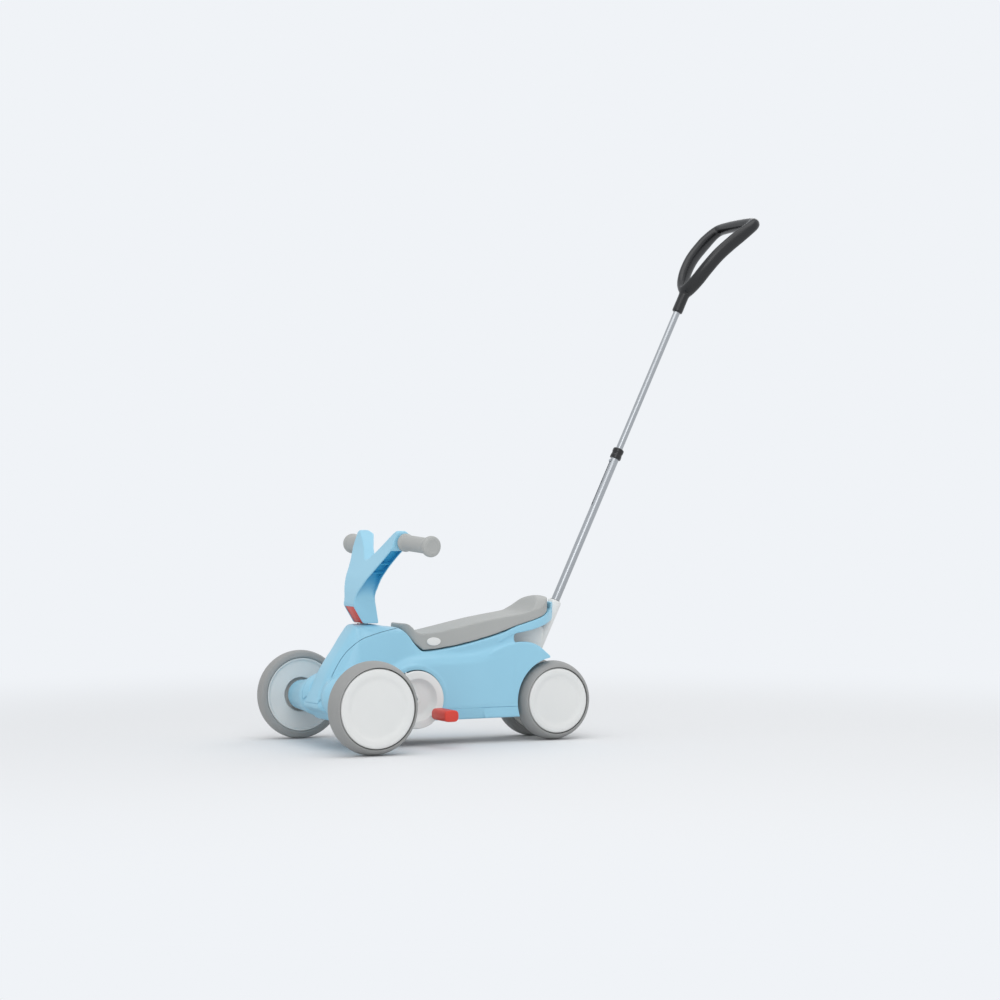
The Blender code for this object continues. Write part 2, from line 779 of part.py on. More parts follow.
def build_chassis():
    half = RAIL_INNER + RAIL_THICKNESS
    axle_z = FRONT_TYRE_RADIUS
    beam = box(
        "chassis_frame",
        (WHEELBASE - 0.0075, -0.160, axle_z - 0.007),
        (WHEELBASE + 0.0075, 0.160, axle_z + 0.007),
    )
    pan = box("pan", (0.134, -0.0455, 0.0475), (WHEELBASE - 0.012, 0.0455, 0.0515))
    stem = [
        (WHEELBASE - 0.0065, 0.050),
        (WHEELBASE + 0.0065, 0.050),
        (WHEELBASE + 0.0065, axle_z),
        (WHEELBASE - 0.0065, axle_z),
    ]
    nose = box("nose_plate", (WHEELBASE - 0.030, -0.036, 0.0480), (WHEELBASE + 0.009, 0.036, 0.0511))
    pieces = [pan, nose, plate("beam_post", stem, -0.030, 0.030, SIDE_VIEW)]
    pieces.append(cylinder("head_tube", HEAD, STEERING_AXIS, HEAD_TUBE_LOW, -0.002, STEERING_TUBE_RADIUS))
    web = [
        (HEAD_X + 0.014, 0.118),
        (WHEELBASE + 0.0060, axle_z + 0.0060),
        (WHEELBASE - 0.0060, axle_z + 0.0060),
        (0.398, 0.0985),
        (0.380, 0.1000),
        (0.335, 0.1500),
        (0.360, 0.1800),
    ]
    pieces.append(plate("head_web", web, -0.009, 0.009, SIDE_VIEW))
    rail = [
        (0.132, 0.0505),
        (0.370, 0.0505),
        (0.370, 0.0620),
        (0.345, 0.0750),
        (0.3150, 0.1000),
        (0.300, 0.1030),
        (0.279, 0.1030),
        (0.264, 0.0950),
        (0.200, 0.0850),
        (0.132, 0.0850),
    ]
    brace = [(0.3275, 0.0860), (0.342, 0.070), (0.372, 0.1130), (0.350, 0.1550), (0.335, 0.1500)]
    for index, sign in enumerate((1, -1)):
        low, high = sorted((sign * RAIL_INNER, sign * half))
        pieces.append(plate(f"rail_{index}", rail, low, high, SIDE_VIEW))
        low, high = sorted((sign * (KINGPIN_Y - 0.016), sign * (KINGPIN_Y - 0.010)))
        tall = KNUCKLE_REACH - 0.0004
        yoke_low = (WHEELBASE - 0.0085, low, axle_z - tall)
        pieces.append(box(f"yoke_{index}", yoke_low, (WHEELBASE + 0.0085, high, axle_z + tall)))
        low, high = sorted((sign * (KINGPIN_Y - 0.012), sign * (KINGPIN_Y + 0.007)))
        for level, up in enumerate((1, -1)):
            z_low, z_high = sorted((up * (KNUCKLE_REACH - LUG_THICKNESS), up * KNUCKLE_REACH))
            lug_low = (WHEELBASE - 0.008, low, axle_z + z_low)
            pieces.append(box(f"lug_{index}_{level}", lug_low, (WHEELBASE + 0.008, high, axle_z + z_high)))
    pieces.append(plate("head_brace", brace, -half + 0.001, half - 0.001, SIDE_VIEW))
    pieces.append(box("rear_cross", (0.133, -half + 0.001, 0.050), (0.1385, half - 0.001, 0.0840)))
    frame = joined(beam, *pieces)
    head_bore = COLUMN_RADIUS + STEERING_BUSH_WALL + GAP
    pin_bore = KINGPIN_RADIUS + GAP
    cutters = [
        box("belt_window", (0.120, -0.010, 0.0516), (0.145, 0.010, 0.0836)),
        cylinder("head_bore", HEAD, STEERING_AXIS, HEAD_TUBE_LOW - 0.01, 0.01, head_bore),
        cylinder("crank_bore", CRANK_CENTRE, LEFT, -0.06, 0.06, CRANK_AXLE_RADIUS + BUSH_WALL + GAP),
    ]
    for index, sign in enumerate((1, -1)):
        kingpin = FRONT_AXLE + LEFT * KINGPIN_Y * sign
        cutters.append(cylinder(f"kingpin_bore_{index}", kingpin, UP, -0.03, 0.03, pin_bore, steps=16))
    frame = cut(frame, *cutters)
    return finished(frame, "chassis_frame", FRAME)


def build_tail_frame():
    outline = [
        (0.1280, 0.0560),
        (0.1280, 0.1500),
        (0.1000, 0.1980),
        (0.0860, 0.2080),
        (0.0460, 0.2195),
        (0.0240, 0.2230),
        (0.0080, 0.2060),
        (-0.0060, 0.2060),
        (-0.0060, 0.1750),
        (0.0080, 0.1400),
        (-0.0080, 0.0900),
        (-0.0160, 0.0740),
        (-0.0080, 0.0590),
        (0.0080, 0.0560),
    ]
    frame = plate("tail_frame", outline, -FRAME_HALF_WIDTH, FRAME_HALF_WIDTH, SIDE_VIEW, WHITE)
    frame = bevelled(frame, 0.002, 1)
    frame = joined(frame, pole_cylinder("boss", -SOCKET_DEPTH + 0.001, 0.0, BOSS_RADIUS))
    slot = [
        (0.140, 0.0500),
        (0.140, 0.1300),
        (0.0400, 0.1280),
        (0.0200, 0.1200),
        (-0.030, 0.1050),
        (-0.030, 0.0500),
    ]
    frame = cut(
        frame,
        plate("belt_slot", slot, -BELT_SLOT, BELT_SLOT, SIDE_VIEW),
        cylinder("axle_bore", REAR_AXLE, LEFT, -0.05, 0.05, AXLE_RADIUS + BUSH_WALL + GAP, steps=14),
        pole_cylinder("pole_bore", -0.15, 0.02, LOWER_TUBE_RADIUS + BUSH_WALL + GAP),
    )
    frame.name = "tail_frame"
    outer = LOWER_TUBE_RADIUS + BUSH_WALL
    inner = LOWER_TUBE_RADIUS + GAP
    depth = SOCKET_DEPTH
    profile = [
        (0.0, -depth),
        (outer, -depth),
        (outer, 0.004),
        (inner, 0.004),
        (inner, -depth + 0.003),
        (0.0, -depth + 0.003),
    ]
    sleeve = bake(turned("push_bar_socket", profile, POLE_BASE, POLE_AXIS, FRAME, 20))
    return frame, sleeve


def build_bush(name, centre, axis, low, high, shaft, wall):
    return bake(tube(name, centre, axis, low, high, shaft + RUNNING, shaft + wall, BUSH, 14))


def build_bushes():
    bushes = []
    for name, low in (("lower", HEAD_TUBE_LOW), ("upper", -0.002 - STEERING_BUSH_LENGTH)):
        place = (HEAD, STEERING_AXIS, low, low + STEERING_BUSH_LENGTH)
        bushes.append(build_bush(f"{name}_steering_bush", *place, COLUMN_RADIUS, STEERING_BUSH_WALL))
    for side, sign in (("left", 1), ("right", -1)):
        outward = LEFT * sign
        crank = (CRANK_CENTRE, outward, RAIL_INNER - 0.001, RAIL_INNER + RAIL_THICKNESS + GAP)
        rear = (REAR_AXLE, outward, BELT_SLOT, FRAME_HALF_WIDTH + GAP)
        bushes.append(build_bush(f"{side}_crank_bush", *crank, CRANK_AXLE_RADIUS, BUSH_WALL))
        bushes.append(build_bush(f"{side}_rear_axle_bush", *rear, AXLE_RADIUS, BUSH_WALL))
    return bushes


def build_belt():
    """An open belt round both pulleys, drawn in side view."""
    rise = CRANK_Z - REAR_TYRE_RADIUS
    span = math.hypot(CRANK_X, rise)
    heading = math.degrees(math.atan2(rise, CRANK_X))
    spread = math.degrees(math.asin((DRIVE_PULLEY_RADIUS - DRIVEN_PULLEY_RADIUS) / span))
    outlines = []
    for thickness in (GAP, GAP + BELT_THICKNESS):
        start, turn = heading - 90 - spread, heading + 90 + spread
        front = arc((CRANK_X, CRANK_Z), DRIVE_PULLEY_RADIUS + thickness, start, turn, 16)
        rear = arc((0, REAR_TYRE_RADIUS), DRIVEN_PULLEY_RADIUS + thickness, turn, start + 360, 12)
        outlines.append(front + rear)
    belt = plate("drive_belt", outlines[1], -BELT_WIDTH / 2, BELT_WIDTH / 2, SIDE_VIEW)
    belt = cut(belt, plate("belt_inside", outlines[0], -0.02, 0.02, SIDE_VIEW))
    return finished(belt, "drive_belt", BELT)


# Steering


def build_handlebar():
    profile = [
        (0.3470, 0.2228),
        (0.3650, 0.2228),
        (0.3810, 0.2290),
        (0.3955, 0.2565),
        (0.3740, 0.3170),
        (0.3515, 0.3860),
        (0.3450, 0.3920),
        (0.3310, 0.3920),
        (0.3170, 0.3780),
        (0.3230, 0.3640),
        (0.3300, 0.3540),
        (0.3430, 0.3280),
        (0.3505, 0.2980),
        (0.3515, 0.2700),
    ]
    half = [
        (STEM_HALF_WIDTH, 0.2180),
        (STEM_HALF_WIDTH + 0.0005, 0.2680),
        (0.0320, 0.2810),
        (0.0450, 0.2980),
        (0.0650, 0.3280),
        (0.0860, 0.3540),
        (ARM_END_Y, 0.3600),
        (ARM_END_Y, 0.3860),
        (0.0780, 0.3860),
        (0.0400, 0.3600),
        (0.0150, 0.3420),
    ]
    across = half + [(0.0, 0.3390)] + [(-y, z) for y, z in reversed(half)]
    bar = plate("handlebar", profile, -0.12, 0.12, SIDE_VIEW)
    bar = common(bar, plate("across", across, 0.25, 0.45, FRONT_VIEW))
    bar = bevelled(bar, 0.003, 1)
    side_pocket = plate("pocket_side", inset(profile, ARM_WALL), -0.12, 0.12, SIDE_VIEW)
    pocket = [
        (0.0300, 0.2700),
        (0.0275, 0.2930),
        (0.0420, 0.3150),
        (0.0640, 0.3400),
        (0.0800, 0.3560),
        (0.1000, 0.3560),
        (0.1000, 0.3400),
        (0.0600, 0.2800),
    ]
    for index, sign in enumerate((1, -1)):
        hollow = plate(f"pocket_{index}", [(y * sign, z) for y, z in pocket], 0.25, 0.45, FRONT_VIEW)
        hollow = common(hollow, duplicate(side_pocket, f"pocket_side_{index}"))
        for rib_index, along in enumerate((0.33, 0.62)):
            foot = Vector((0.0275, 0.2930)).lerp(Vector((0.0860, 0.3560)), along)
            out = Vector((0.75, -0.66)) * 0.04
            width = Vector((0.66, 0.75)) * RIB_THICKNESS / 2
            corners = [foot - out - width, foot + out - width, foot + out + width, foot - out + width]
            corners = [(p.x * sign, p.y) for p in corners]
            rib = plate(f"rib_{index}_{rib_index}", corners, 0.25, 0.45, FRONT_VIEW)
            hollow = cut(hollow, rib)
        bar = cut(bar, hollow)
        start = Vector((ARM_END_X, ARM_END_Y * sign, ARM_END_Z))
        axis = grip_axis(sign)
        core_end = GRIP_LENGTH - 0.006
        core = cylinder(f"grip_core_{index}", start, axis, -0.012, core_end, GRIP_CORE_RADIUS, steps=16)
        bar = joined(bar, core)
    drop(side_pocket)
    column_room = COLUMN_RADIUS + GAP
    bar = cut(bar, cylinder("column_bore", HEAD, STEERING_AXIS, -0.02, COLUMN_RISE + GAP, column_room))
    trim_zone = [
        (0.3600, 0.2150),
        (0.3700, 0.2150),
        (0.4000, 0.2480),
        (0.4100, 0.2700),
        (0.3946, 0.2585),
        (0.3800, 0.2315),
        (0.3660, 0.2258),
        (0.3600, 0.2258),
    ]
    trim = common(duplicate(bar, "stem_trim"), plate("trim_zone", trim_zone, -0.05, 0.05, SIDE_VIEW))
    bar = cut(bar, plate("trim_room", inset(trim_zone, -GAP), -0.05, 0.05, SIDE_VIEW))
    return finished(bar, "handlebar", BLUE), finished(trim, "stem_trim", RED)


def grip_axis(sign):
    flat = math.cos(GRIP_DROP)
    return Vector((-math.sin(GRIP_SWEEP) * flat, sign * math.cos(GRIP_SWEEP) * flat, -math.sin(GRIP_DROP)))


def build_grips():
    grips = []
    inner = GRIP_CORE_RADIUS + GAP
    for side, sign in (("left", 1), ("right", -1)):
        start = Vector((ARM_END_X, ARM_END_Y * sign, ARM_END_Z))
        length = GRIP_LENGTH
        profile = [
            (0.0, length - 0.0055),
            (inner, length - 0.0055),
            (inner, 0.0035),
            (GRIP_COLLAR_RADIUS, 0.0035),
            (GRIP_COLLAR_RADIUS, 0.009),
            (GRIP_RADIUS, 0.012),
            (GRIP_RADIUS, length - 0.014),
            (GRIP_FLANGE_RADIUS, length - 0.008),
            (GRIP_FLANGE_RADIUS, length - 0.003),
            (GRIP_FLANGE_RADIUS - 0.003, length),
            (0.0, length),
        ]
        grips.append(bake(turned(f"{side}_grip", profile, start, grip_axis(sign), GREY, 20)))
    return grips


def build_column():
    foot = -COLUMN_LENGTH
    column = cylinder("steering_column", HEAD, STEERING_AXIS, foot, COLUMN_RISE, COLUMN_RADIUS, STEEL, 20)
    place = STEERING.matrix_world
    ring = arc((0, 0), COLUMN_RADIUS + 0.0045, -100, 100, 10) + arc((-STEERING_ARM, 0), 0.006, 130, 230, 6)
    arm = plate("steering_arm", ring, foot, foot + 0.005, place, STEEL)
    arm = cut(arm, cylinder("arm_bore", HEAD, STEERING_AXIS, foot - 0.01, foot + 0.01, COLUMN_RADIUS + GAP))
    pin_at = HEAD + STEERING_AXIS * foot - STEERING_FRONT * STEERING_ARM
    arm = joined(arm, cylinder("arm_pin", pin_at, STEERING_AXIS, -0.0085, 0.002, ARM_PIN_RADIUS, steps=16))
    arm.name = "steering_arm"
    return bake(column), arm


def build_track_rod():
    axle_z = FRONT_TYRE_RADIUS
    top = axle_z - ROD_DROP + 0.0006
    bottom = top - ROD_THICKNESS
    centre_x = WHEELBASE - STEERING_ARM
    half = ROD_WIDTH / 2
    pin_x = ARM_PIN_X
    end_y = KINGPIN_Y + 0.005
    outline = both_sides([
        (centre_x + half, end_y),
        (centre_x - half - 0.001, end_y),
        (centre_x - half - 0.001, 0.014),
        (pin_x + 0.002, 0.008),
        (pin_x - 0.007, 0.006),
    ])
    rod = plate("track_rod", outline, bottom, top, PLAN_VIEW, STEEL)
    end_x = centre_x + 0.0004
    slots = [(pin_x, 0.0, 0.0023), (end_x, KINGPIN_Y, 0.0006), (end_x, -KINGPIN_Y, 0.0006)]
    radius = ARM_PIN_RADIUS + GAP
    for index, (x, y, stretch) in enumerate(slots):
        outline = arc((x - stretch, y), radius, 90, 270, 6) + arc((x + stretch, y), radius, -90, 90, 6)
        rod = cut(rod, plate(f"slot_{index}", outline, bottom - 0.01, top + 0.01, PLAN_VIEW))
    rod.name = "track_rod"
    return rod


def build_knuckle(side, sign):
    pivot = FRONT_AXLE + LEFT * KINGPIN_Y * sign
    half = KNUCKLE_HEIGHT / 2
    knuckle = cylinder(f"{side}_knuckle", pivot, UP, -half, half, KNUCKLE_RADIUS, STEEL, 14)
    arm_low = -ROD_DROP + 0.0012
    arm_outline = arc((0, 0), 0.0065, -90, 90, 8) + arc((-STEERING_ARM, 0), 0.0045, 110, 250, 6)
    arm = plate(f"{side}_arm", arm_outline, arm_low, arm_low + 0.004, Matrix.Translation(pivot))
    pin_low = arm_low - ROD_THICKNESS - 0.0020
    pin_at = pivot - FORWARD * STEERING_ARM
    pin = cylinder(f"{side}_arm_pin", pin_at, UP, pin_low, arm_low + 0.002, ARM_PIN_RADIUS, steps=16)
    outward = LEFT * sign
    stub_end = KINGPIN_INSET + CAP_SEAT + STUB_END
    stub = cylinder(f"{side}_stub", pivot, outward, 0.0045, stub_end, AXLE_RADIUS, steps=14)
    collar = cylinder(f"{side}_stub_collar", pivot, outward, 0.0045, 0.0085, 0.0062, steps=14)
    knuckle = joined(knuckle, arm, pin, stub, collar)
    pin_room = KINGPIN_RADIUS + RUNNING
    knuckle = cut(knuckle, cylinder("knuckle_bore", pivot, UP, -0.03, 0.03, pin_room, steps=16))
    knuckle.name = f"{side}_knuckle"
    reach = KNUCKLE_REACH
    profile = [
        (0, reach + 0.0018),
        (0.0045, reach + 0.0018),
        (0.0045, reach + GAP),
        (KINGPIN_RADIUS, reach + GAP),
        (KINGPIN_RADIUS, -reach - 0.002),
        (0, -reach - 0.002),
    ]
    kingpin = bake(turned(f"{side}_kingpin", profile, pivot, UP, STEEL, 16))
    return knuckle, kingpin


# Wheels. Heights run outwards from the wheel's middle plane.


def wheel_profiles(radius, lip):
    half = TYRE_WIDTH / 2
    drum = lip - DRUM_STEP
    cap_low = CAP_SEAT
    tread = TREAD_WIDTH / 2
    facet = radius / math.cos(math.pi / WHEEL_STEPS)
    tyre = [
        (drum + GAP, -half + 0.0030),
        (lip - 0.0010, -half),
        (radius - 0.0070, -half),
        (radius - 0.0025, -half + 0.0030),
        (facet, -tread),
        (facet, tread),
        (radius - 0.0025, half - 0.0030),
        (radius - 0.0070, half),
        (lip + GAP, half - 0.0005),
        (lip + GAP, cap_low - GAP),
        (drum + GAP, cap_low - GAP),
    ]
    cap = [
        (0.0, cap_low + 0.0045),
        (0.0120, cap_low + 0.0045),
        (0.0140, cap_low),
        (lip - 0.0005, cap_low),
        (lip - 0.0005, half - 0.0030),
        (lip - 0.0030, half - 0.0010),
        (lip * 0.6, half - 0.0025),
        (0.0, half - 0.0020),
    ]
    return tyre, cap


def rim_profile(drum, hub_low, bore):
    half = TYRE_WIDTH / 2
    top = CAP_SEAT - GAP
    return [
        (bore, top),
        (drum, top),
        (drum, -half + 0.0030),
        (drum - 0.0025, -half + 0.0030),
        (drum - 0.0025, top - 0.0030),
        (HUB_RADIUS, top - 0.0030),
        (HUB_RADIUS, hub_low),
        (bore, hub_low),
    ]


def build_wheel(place, side, sign, track, centre, radius, lip, hub_low, bore):
    middle = centre + LEFT * sign * track / 2
    outward = LEFT * sign
    tyre_profile, cap_profile = wheel_profiles(radius, lip)
    inside = rim_profile(lip - DRUM_STEP, hub_low, bore)
    prefix = f"{side}_{place}"
    tyre = bake(turned(f"{prefix}_tyre", tyre_profile, middle, outward, TYRE, WHEEL_STEPS, ring=True))
    rim = bake(turned(f"{prefix}_rim", inside, middle, outward, WHITE, WHEEL_STEPS, ring=True))
    cap = bake(turned(f"{prefix}_hub_cap", cap_profile, middle, outward, WHITE, WHEEL_STEPS))
    return tyre, rim, cap


def build_front_wheel(side, sign):
    hub_low = 0.0092 - KINGPIN_INSET
    inner = AXLE_RADIUS + RUNNING
    outer = AXLE_RADIUS + BUSH_WALL
    sizes = (FRONT_TRACK, FRONT_AXLE, FRONT_TYRE_RADIUS, FRONT_LIP_RADIUS)
    pieces = build_wheel("front", side, sign, *sizes, hub_low, outer + GAP)
    middle = FRONT_AXLE + LEFT * sign * FRONT_TRACK / 2
    name = f"{side}_front_bush"
    bush = bake(tube(name, middle, LEFT * sign, hub_low, CAP_SEAT - GAP, inner, outer, BUSH, 14))
    return [*pieces, bush]


def build_retainer(side, sign):
    middle = FRONT_AXLE + LEFT * sign * FRONT_TRACK / 2
    low = CAP_SEAT + 0.0004
    inner = AXLE_RADIUS + GAP
    profile = [
        (0.0, low + 0.0035),
        (0.0060, low + 0.0035),
        (0.0090, low + 0.0015),
        (0.0090, low),
        (inner, low),
        (inner, low + 0.0025),
        (0.0, low + 0.0025),
    ]
    return bake(turned(f"{side}_stub_retainer", profile, middle, LEFT * sign, STEEL, 14))


def build_rear_axle():
    pieces = []
    hub_low = -TYRE_WIDTH / 2 + 0.0016
    sizes = (REAR_TRACK, REAR_AXLE, REAR_TYRE_RADIUS, REAR_LIP_RADIUS)
    for side, sign in (("left", 1), ("right", -1)):
        pieces.extend(build_wheel("rear", side, sign, *sizes, hub_low, AXLE_RADIUS + GAP))
    end = REAR_TRACK / 2 + CAP_SEAT + 0.0025
    pieces.append(bake(cylinder("rear_axle", REAR_AXLE, LEFT, -end, end, AXLE_RADIUS, STEEL, 14)))
    pieces.append(build_pulley("driven_pulley", REAR_AXLE, DRIVEN_PULLEY_RADIUS, AXLE_RADIUS + GAP))
    return pieces


def build_pulley(name, centre, radius, bore):
    half = BELT_WIDTH / 2
    edge = radius + BELT_THICKNESS * 0.8
    profile = [
        (bore, half + 0.0025),
        (edge, half + 0.0025),
        (edge, half + 0.0008),
        (radius, half + 0.0005),
        (radius, -half - 0.0005),
        (edge, -half - 0.0008),
        (edge, -half - 0.0025),
        (bore, -half - 0.0025),
    ]
    return bake(turned(name, profile, centre, LEFT, FRAME, 20, ring=True))


# Crank


def build_crank():
    pieces = []
    bore = CRANK_AXLE_RADIUS + GAP
    face = CRANK_FACE_Y
    bowl = face - CRANK_BOWL_DEPTH
    lip = CRANK_BOWL_RADIUS
    edge = CRANK_DISC_RADIUS
    for side, sign in (("left", 1), ("right", -1)):
        profile = [
            (bore, bowl),
            (lip - 0.0060, bowl),
            (lip, face - 0.0030),
            (lip + 0.0015, face),
            (edge - 0.0020, face),
            (edge, face - 0.0020),
            (edge, face - 0.0040),
            (lip + 0.0035, face - 0.0040),
            (lip - 0.0040, bowl - 0.0030),
            (0.0110, bowl - 0.0030),
            (0.0110, bowl - 0.0120),
            (bore, bowl - 0.0120),
        ]
        disc = bake(turned(f"{side}_crank_disc", profile, CRANK_CENTRE, LEFT * sign, WHITE, 28, ring=True))
        hinge = pedal_hinge(sign)
        for index, end in enumerate((1, -1)):
            low, high = sorted((end * HINGE_KNUCKLE, end * (HINGE_KNUCKLE + 0.003)))
            lug_place = basis(hinge, CRANK_ACROSS, LEFT * sign)
            foot = -PEDAL_HINGE_RISE - 0.002
            outline = arc((0, 0), LUG_RADIUS, -90, 90, 6) + [(foot, LUG_RADIUS), (foot, -LUG_RADIUS)]
            disc = joined(disc, plate(f"lug_{index}", outline, low, high, lug_place))
        pin_room = HINGE_PIN_RADIUS + RUNNING
        disc = cut(disc, cylinder("hinge_bore", hinge, CRANK_ACROSS, -0.02, 0.02, pin_room, steps=12))
        disc.name = f"{side}_crank_disc"
        pieces.append(disc)
        cap = [
            (0.0, bowl + 0.0030),
            (0.0080, bowl + 0.0030),
            (0.0100, bowl + 0.0015),
            (0.0100, bowl + GAP),
            (bore, bowl + GAP),
            (bore, bowl + 0.0018),
            (0.0, bowl + 0.0018),
        ]
        pieces.append(bake(turned(f"{side}_crank_cap", cap, CRANK_CENTRE, LEFT * sign, WHITE, 16)))
    end = bowl + 0.0012
    pieces.append(bake(cylinder("crank_axle", CRANK_CENTRE, LEFT, -end, end, CRANK_AXLE_RADIUS, STEEL, 14)))
    pieces.append(build_pulley("drive_pulley", CRANK_CENTRE, DRIVE_PULLEY_RADIUS, CRANK_AXLE_RADIUS + GAP))
    return pieces


def pedal_hinge(sign):
    return CRANK_CENTRE + CRANK_OUT * CRANK_REACH * sign + LEFT * sign * (CRANK_FACE_Y + PEDAL_HINGE_RISE)


def build_pedal(side, sign):
    hinge = pedal_hinge(sign)
    outward = LEFT * sign
    wide = HINGE_KNUCKLE - GAP
    long = HINGE_KNUCKLE + 0.0038
    knuckle = cylinder(f"{side}_pedal_spindle", hinge, CRANK_ACROSS, -wide, wide, 0.0045, STEEL, 16)
    pin = cylinder("hinge_pin", hinge, CRANK_ACROSS, -long, long, HINGE_PIN_RADIUS, steps=12)
    rod_end = PEDAL_START + PEDAL_LENGTH - 0.006
    rod = cylinder("spindle_rod", hinge, outward, 0.001, rod_end, PEDAL_SPINDLE_RADIUS, steps=16)
    spindle = joined(knuckle, pin, rod)
    spindle.name = f"{side}_pedal_spindle"
    half_w = PEDAL_WIDTH / 2
    half_t = PEDAL_THICKNESS / 2
    corner = 0.008
    outline = []
    for x, z, start in ((1, 1, 0), (-1, 1, 90), (-1, -1, 180), (1, -1, 270)):
        outline += arc((x * (half_w - corner), z * (half_t - corner)), corner, start, start + 90, 4)
    low, high = sorted((sign * PEDAL_START, sign * (PEDAL_START + PEDAL_LENGTH)))
    place = Matrix.Translation(hinge) @ SIDE_VIEW
    block = bevelled(plate(f"{side}_pedal", outline, low, high, place, RED), 0.002, 2)
    bore = cylinder("pedal_bore", hinge, outward, 0.0, rod_end + 0.0006, PEDAL_SPINDLE_RADIUS + GAP, steps=16)
    block = cut(block, bore)
    block.name = f"{side}_pedal"
    return spindle, block


# Push bar


def build_push_bar():
    inner = LOWER_TUBE_RADIUS - TUBE_WALL
    length = LOWER_TUBE_LENGTH
    foot = -SOCKET_DEPTH + 0.0035
    lower = tube("lower_tube", POLE_BASE, POLE_AXIS, foot, length, inner, LOWER_TUBE_RADIUS, ALUMINIUM, 20)
    for step in range(3):
        at = POLE_BASE + POLE_AXIS * (BUTTON_DISTANCE - step * HOLE_PITCH)
        lower = cut(lower, cylinder(f"hole_{step}", at, POLE_FRONT, 0.0, 0.02, HOLE_RADIUS, steps=16))
    slot_half = BUTTON_NECK_RADIUS + GAP
    slot_low = BUTTON_DISTANCE - 2 * HOLE_PITCH
    slot = [
        (slot_low, -slot_half),
        (BUTTON_DISTANCE, -slot_half),
        (BUTTON_DISTANCE, slot_half),
        (slot_low, slot_half),
    ]
    lower = cut(lower, plate("hole_slot", slot, 0.0, 0.02, basis(POLE_BASE, POLE_FRONT, POLE_AXIS)))
    lower.name = "lower_tube"
    grip = LOWER_TUBE_RADIUS + GAP
    throat = UPPER_TUBE_RADIUS + GAP
    low = length - COLLAR_LENGTH / 2 - 0.001
    high = length + COLLAR_LENGTH / 2 - 0.001
    profile = [
        (grip, low),
        (COLLAR_RADIUS, low),
        (COLLAR_RADIUS, high - 0.002),
        (COLLAR_RADIUS - 0.0015, high),
        (throat, high),
        (throat, length + GAP),
        (grip, length + GAP),
    ]
    collar = bake(turned("pole_collar", profile, POLE_BASE, POLE_AXIS, BLACK, 20, ring=True))
    start = length - UPPER_TUBE_OVERLAP
    outer = UPPER_TUBE_RADIUS
    inner = outer - TUBE_WALL
    upper = tube("upper_tube", POLE_BASE, POLE_AXIS, start, UPPER_TUBE_TOP, inner, outer, ALUMINIUM, 20)
    at = POLE_BASE + POLE_AXIS * BUTTON_DISTANCE
    upper = cut(upper, cylinder("button_hole", at, POLE_FRONT, 0.0, 0.02, HOLE_RADIUS, steps=16))
    upper.name = "upper_tube"
    head = HOLE_RADIUS - GAP
    button_profile = [
        (0.0, LOWER_TUBE_RADIUS + 0.0025),
        (head - 0.0010, LOWER_TUBE_RADIUS + 0.0022),
        (head, LOWER_TUBE_RADIUS + 0.0010),
        (head, LOWER_TUBE_RADIUS + GAP),
        (BUTTON_NECK_RADIUS, LOWER_TUBE_RADIUS + GAP),
        (BUTTON_NECK_RADIUS, 0.0034),
        (0.0037, 0.0034),
        (0.0037, 0.0022),
        (0.0, 0.0022),
    ]
    button = bake(turned("snap_button", button_profile, at, POLE_FRONT, STEEL, 16))
    return lower, collar, upper, button


def handle_curve():
    """Half of the loop's centre line, from the neck to the middle of the cross bar."""
    return [
        (-0.3125, 0.000, 0.8580),
        (-0.3210, 0.013, 0.8740),
        (-0.3340, 0.030, 0.8960),
        (-0.3530, 0.046, 0.9220),
        (-0.3800, 0.058, 0.9490),
        (-0.4060, HANDLE_HALF_WIDTH, 0.9700),
        (-0.4230, 0.064, 0.9830),
        (-0.4300, 0.050, 0.9890),
        (-0.4310, 0.025, 0.9920),
    ]


def build_handle():
    half = handle_curve()
    points = half + [(-0.4312, 0.0, 0.9925)] + [(x, -y, z) for x, y, z in reversed(half[1:])]
    curve = bpy.data.curves.new("handle_line", "CURVE")
    curve.dimensions = "3D"
    curve.bevel_depth = HANDLE_BAR_RADIUS
    curve.bevel_resolution = 2
    spline = curve.splines.new("POLY")
    spline.points.add(len(points) - 1)
    for point, (x, y, z) in zip(spline.points, points):
        point.co = (x, y, z, 1)
    spline.use_cyclic_u = True
    line = bpy.data.objects.new("handle_line", curve)
    COLLECTION.objects.link(line)
    mesh = baked_mesh(line)
    bpy.data.objects.remove(line)
    loop = add_object("handle", mesh, BLACK)
    neck = pole_cylinder("neck", FERRULE_DISTANCE, FERRULE_DISTANCE + FERRULE_LENGTH + 0.010, FERRULE_RADIUS)
    handle = joined(loop, neck)
    room = UPPER_TUBE_RADIUS + GAP
    handle = cut(handle, pole_cylinder("tube_room", FERRULE_DISTANCE - 0.01, UPPER_TUBE_TOP + GAP, room))
    handle.name = "handle"
    return handle


# Assembly


